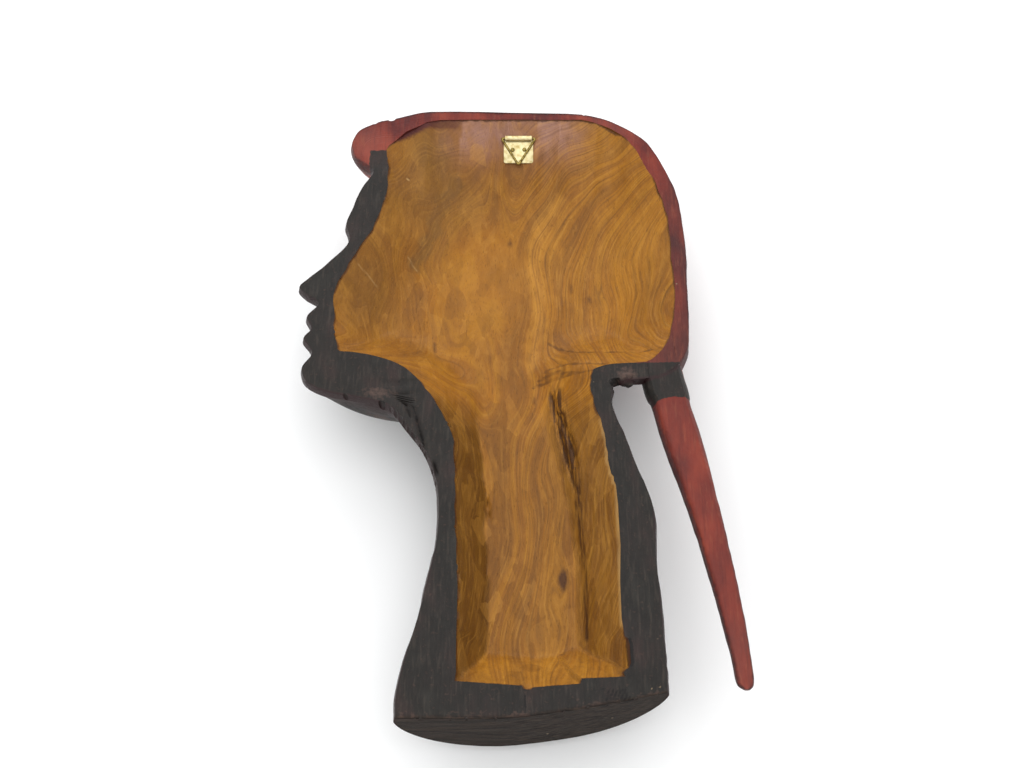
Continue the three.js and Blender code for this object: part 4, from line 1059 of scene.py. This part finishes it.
# the dark edge along the outline: worn paint and painted shade of the turning sides together
edge = node(tree, "Math", {0: grime, 1: 3, 2: at["from_outline"]}, operation="MULTIPLY_ADD")
crack = node(tree, "Math", {0: grime, 1: 2.4, 2: at["from_crack_and_chip_shadow"]}, operation="MULTIPLY_ADD")
specks = node(tree, "TexVoronoi", {"Vector": stretched(tree, place, 22, 22), "Scale": 1}, out="Distance")
tone = laid_over(tree, black, crimson, red, -0.25, 0.25)
for layer in [
    ("#2c1718", edge, 3.6, 1.8, 0.85),
    ("#8f7a62", specks, 0.035, 0.022, 0.7),
    ("#a08a6c", at["pale_marks"], 0.6, 0.9, 0.8),
    ("#0e0908", crack, 2.0, 1.4, 0.9),
]:
    tone = laid_over(tree, tone, *layer)

combed_place = node(tree, "Math", {0: at["combing"], 1: COMBED_LINES}, operation="MULTIPLY")
strands = node(tree, "TexNoise", {"W": combed_place, "Scale": 1, "Detail": 2}, noise_dimensions="1D")
on_hair = node(tree, "MapRange", {"Value": red, "From Min": 1, "From Max": 5, "To Max": 1.6})
combed = node(tree, "Math", {0: strands, 1: on_hair}, operation="MULTIPLY")
rise = node(tree, "Math", {0: streaks, 1: grime}, operation="ADD")
rise = node(tree, "Math", {0: rise, 1: combed}, operation="ADD")
uneven = node(tree, "Bump", {"Height": rise, "Strength": 0.7, "Distance": 0.3 * MM})
rough = node(tree, "MapRange", {"Value": grime, "To Min": 0.42, "To Max": 0.75})
rough = node(tree, "Math", {0: at["end_grain"], 1: 0.4, 2: rough}, operation="MULTIPLY_ADD")
skin = node(tree, "BsdfPrincipled", {"Base Color": tone, "Roughness": rough, "Specular IOR Level": 0.25,
                                     "Normal": uneven})
node(tree, "OutputMaterial", {"Surface": skin})

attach(block, "mask")
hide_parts("mask_body")

# The hanger: a thin brass plate whose top edge is rolled round the wire of a three-cornered ring, and two
# round-headed nails. It lies on the hollow's upper wall; its own x runs along the hinge and its y stands off
# the wood. Plate and roll stand off the wood by a small gap.
PLATE_WIDTH, PLATE_HEIGHT, PLATE_THICKNESS, PLATE_CORNER, PLATE_BEVEL = 20, 17, 0.8, 1.5, 0.15
KNUCKLE_RADIUS, KNUCKLE_WIDTH = 1.9, 18
GAP = 0.3
hinge_rise = KNUCKLE_RADIUS + GAP
seat_y = GAP - hinge_rise
seat_depth = HOLLOW_LIP + HOLLOW_TOP * math.tan(SEAT_SLOPE)
hinge = Matrix.Translation(Vector((0, -seat_depth + hinge_rise / math.cos(SEAT_SLOPE), 0)) * MM)
hinge = hinge @ Matrix.Rotation(-SEAT_SLOPE, 4, "X")


def finish_piece(piece, material, body, cad_node=None):
    """Turn a finished piece of the hanger into its place, give it its finish and hang it on its body."""
    piece.data.transform(hinge)
    piece.data.materials.append(material)
    piece.data.shade_smooth()
    piece.data.set_sharp_from_angle(angle=math.radians(40))
    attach(piece, body)
    if cad_node:
        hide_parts(cad_node)


# Pale rolled brass of the plate, mottled by handling, with the fine lines of rolling.
brass, tree = new_material("pale_rolled_brass")
place = node(tree, "TexCoord", out="Object")
mottle = marks(tree, place, 3, 3, 4)
tone = laid_over(tree, "#dccfa2", "#b9a56c", mottle, 0.45, 0.7)
rough = node(tree, "MapRange", {"Value": mottle, "To Min": 0.35, "To Max": 0.55})
lines = marks(tree, place, 8, 0.3, 2)
uneven = node(tree, "Bump", {"Height": lines, "Strength": 0.2, "Distance": 0.05 * MM})
skin = node(tree, "BsdfPrincipled", {"Base Color": tone, "Metallic": 1, "Roughness": rough,
                                     "Normal": uneven})
node(tree, "OutputMaterial", {"Surface": skin})

# The plate is cut from sheet, with two round corners below and its front edges eased. The roll is bent
# from the same sheet and closes on the plate.
plate_half = PLATE_WIDTH / 2
corners = [(plate_half - PLATE_CORNER * (1 - math.cos(t)), -PLATE_HEIGHT + PLATE_CORNER * (1 - math.sin(t)))
           for t in np.radians(np.linspace(0, 90, 6))]
mirrored = [(-x_place, z_place) for x_place, z_place in corners[::-1]]
face = np.array([(-plate_half, 0), (plate_half, 0), *corners, *mirrored])
middle = np.array([0, -PLATE_HEIGHT / 2])
front_y = seat_y + PLATE_THICKNESS
sheet_loops = []
for y_place, inset in [(seat_y, 0), (front_y - PLATE_BEVEL, 0), (front_y, PLATE_BEVEL)]:
    sheet_loops.append(at_depth(middle + (face - middle) * (1 - inset / (PLATE_HEIGHT / 2)), y_place))
plate = tube_mesh("brass_plate", np.array(sheet_loops))

roll_turn = np.radians(np.linspace(180, -75, 30))
round_the_wire = np.column_stack([np.cos(roll_turn), np.sin(roll_turn)])
inner_radius = KNUCKLE_RADIUS - PLATE_THICKNESS
roll_profile = np.vstack([
    [(-KNUCKLE_RADIUS + 0.02, -1)], KNUCKLE_RADIUS * round_the_wire, inner_radius * round_the_wire[::-1],
    [(-inner_radius, -1)],
])
roll_loops = [np.column_stack([np.full(len(roll_profile), x_place), roll_profile])
              for x_place in (-KNUCKLE_WIDTH / 2, KNUCKLE_WIDTH / 2)]
roll = tube_mesh("brass_roll", np.array(roll_loops))

# Dull brass of the wire and of the nails, browned in patches and unevenly smooth.
dull_brass, tree = new_material("dull_brass_wire")
place = node(tree, "TexCoord", out="Object")
mottle = marks(tree, place, 2, 2, 4)
tone = laid_over(tree, "#a08c4e", "#5f5028", mottle, 0.4, 0.7)
rough = node(tree, "MapRange", {"Value": mottle, "To Min": 0.3, "To Max": 0.6})
skin = node(tree, "BsdfPrincipled", {"Base Color": tone, "Metallic": 1, "Roughness": rough})
node(tree, "OutputMaterial", {"Surface": skin})

# The ring is one closed loop of brass wire, bent to three round corners. Its long side turns in the roll,
# and its far corner takes the nail in the wall.
WIRE_WIDTH, WIRE_HEIGHT, WIRE_RADIUS, WIRE_CORNER = 24.6, 19.4, 0.8, 1.6
BEND_STEPS = 9
ring_half = WIRE_WIDTH / 2 - WIRE_RADIUS
ring_point = Vector((0, 0, WIRE_RADIUS - WIRE_HEIGHT))
ring_corners = [Vector((ring_half, 0, 0)), Vector((-ring_half, 0, 0)), ring_point]
wire_line = []
for number, corner in enumerate(ring_corners):
    start_bend = corner + (ring_corners[number - 1] - corner).normalized() * WIRE_CORNER
    end_bend = corner + (ring_corners[(number + 1) % 3] - corner).normalized() * WIRE_CORNER
    for t in np.linspace(0, 1, BEND_STEPS):
        wire_line.append(start_bend * (1 - t) ** 2 + corner * 2 * t * (1 - t) + end_bend * t ** 2)
curve = bpy.data.curves.new("wire_line", "CURVE")
curve.dimensions = "3D"
curve.bevel_depth = WIRE_RADIUS * MM
curve.bevel_resolution = 6
spline = curve.splines.new("POLY")
spline.points.add(len(wire_line) - 1)
for point, place in zip(spline.points, wire_line):
    point.co = (*(place * MM), 1)
spline.use_cyclic_u = True
curve_holder = bpy.data.objects.new("wire_line", curve)
wire = bpy.data.objects.new("wire_ring", bpy.data.meshes.new_from_object(curve_holder))
bpy.data.objects.remove(curve_holder)
scene.collection.objects.link(wire)

# Two short brass nails with domed heads go through the plate into the wood and hold it. The outline
# of one runs from its point up to its head.
NAIL_X, NAIL_DROP = 4, 7.6
NAIL_HEAD, NAIL_HEAD_HEIGHT, NAIL_SHANK, NAIL_LENGTH, NAIL_POINT = 1.4, 0.7, 0.65, 7, 1.6
NAIL_SIDES = 24
head_bottom = front_y + GAP / 2
point_y = head_bottom - NAIL_LENGTH
dome = [(NAIL_HEAD * math.cos(t), head_bottom + 0.1 + (NAIL_HEAD_HEIGHT - 0.1) * math.sin(t))
        for t in np.radians([0, 20, 40, 60, 78])]
nail_outline = [(0.05, point_y), (NAIL_SHANK, point_y + NAIL_POINT), (NAIL_SHANK, head_bottom),
                (NAIL_HEAD, head_bottom), *dome]
nail_turn = 2 * math.pi * np.arange(NAIL_SIDES) / NAIL_SIDES
nail_round = np.column_stack([np.cos(nail_turn), np.sin(nail_turn)])
for side, cad_node in [(1, "hanger_nail_left"), (-1, "hanger_nail_right")]:
    nail_middle = (side * NAIL_X, -NAIL_DROP)
    nail_loops = [at_depth(nail_middle + radius * nail_round, y_place) for radius, y_place in nail_outline]
    nail = tube_mesh(cad_node.replace("hanger", "brass"), np.array(nail_loops))
    finish_piece(nail, dull_brass, "mask", cad_node)
finish_piece(wire, dull_brass, "ring", "hanger_ring")
finish_piece(plate, brass, "mask", "hanger_plate")
finish_piece(roll, brass, "mask")
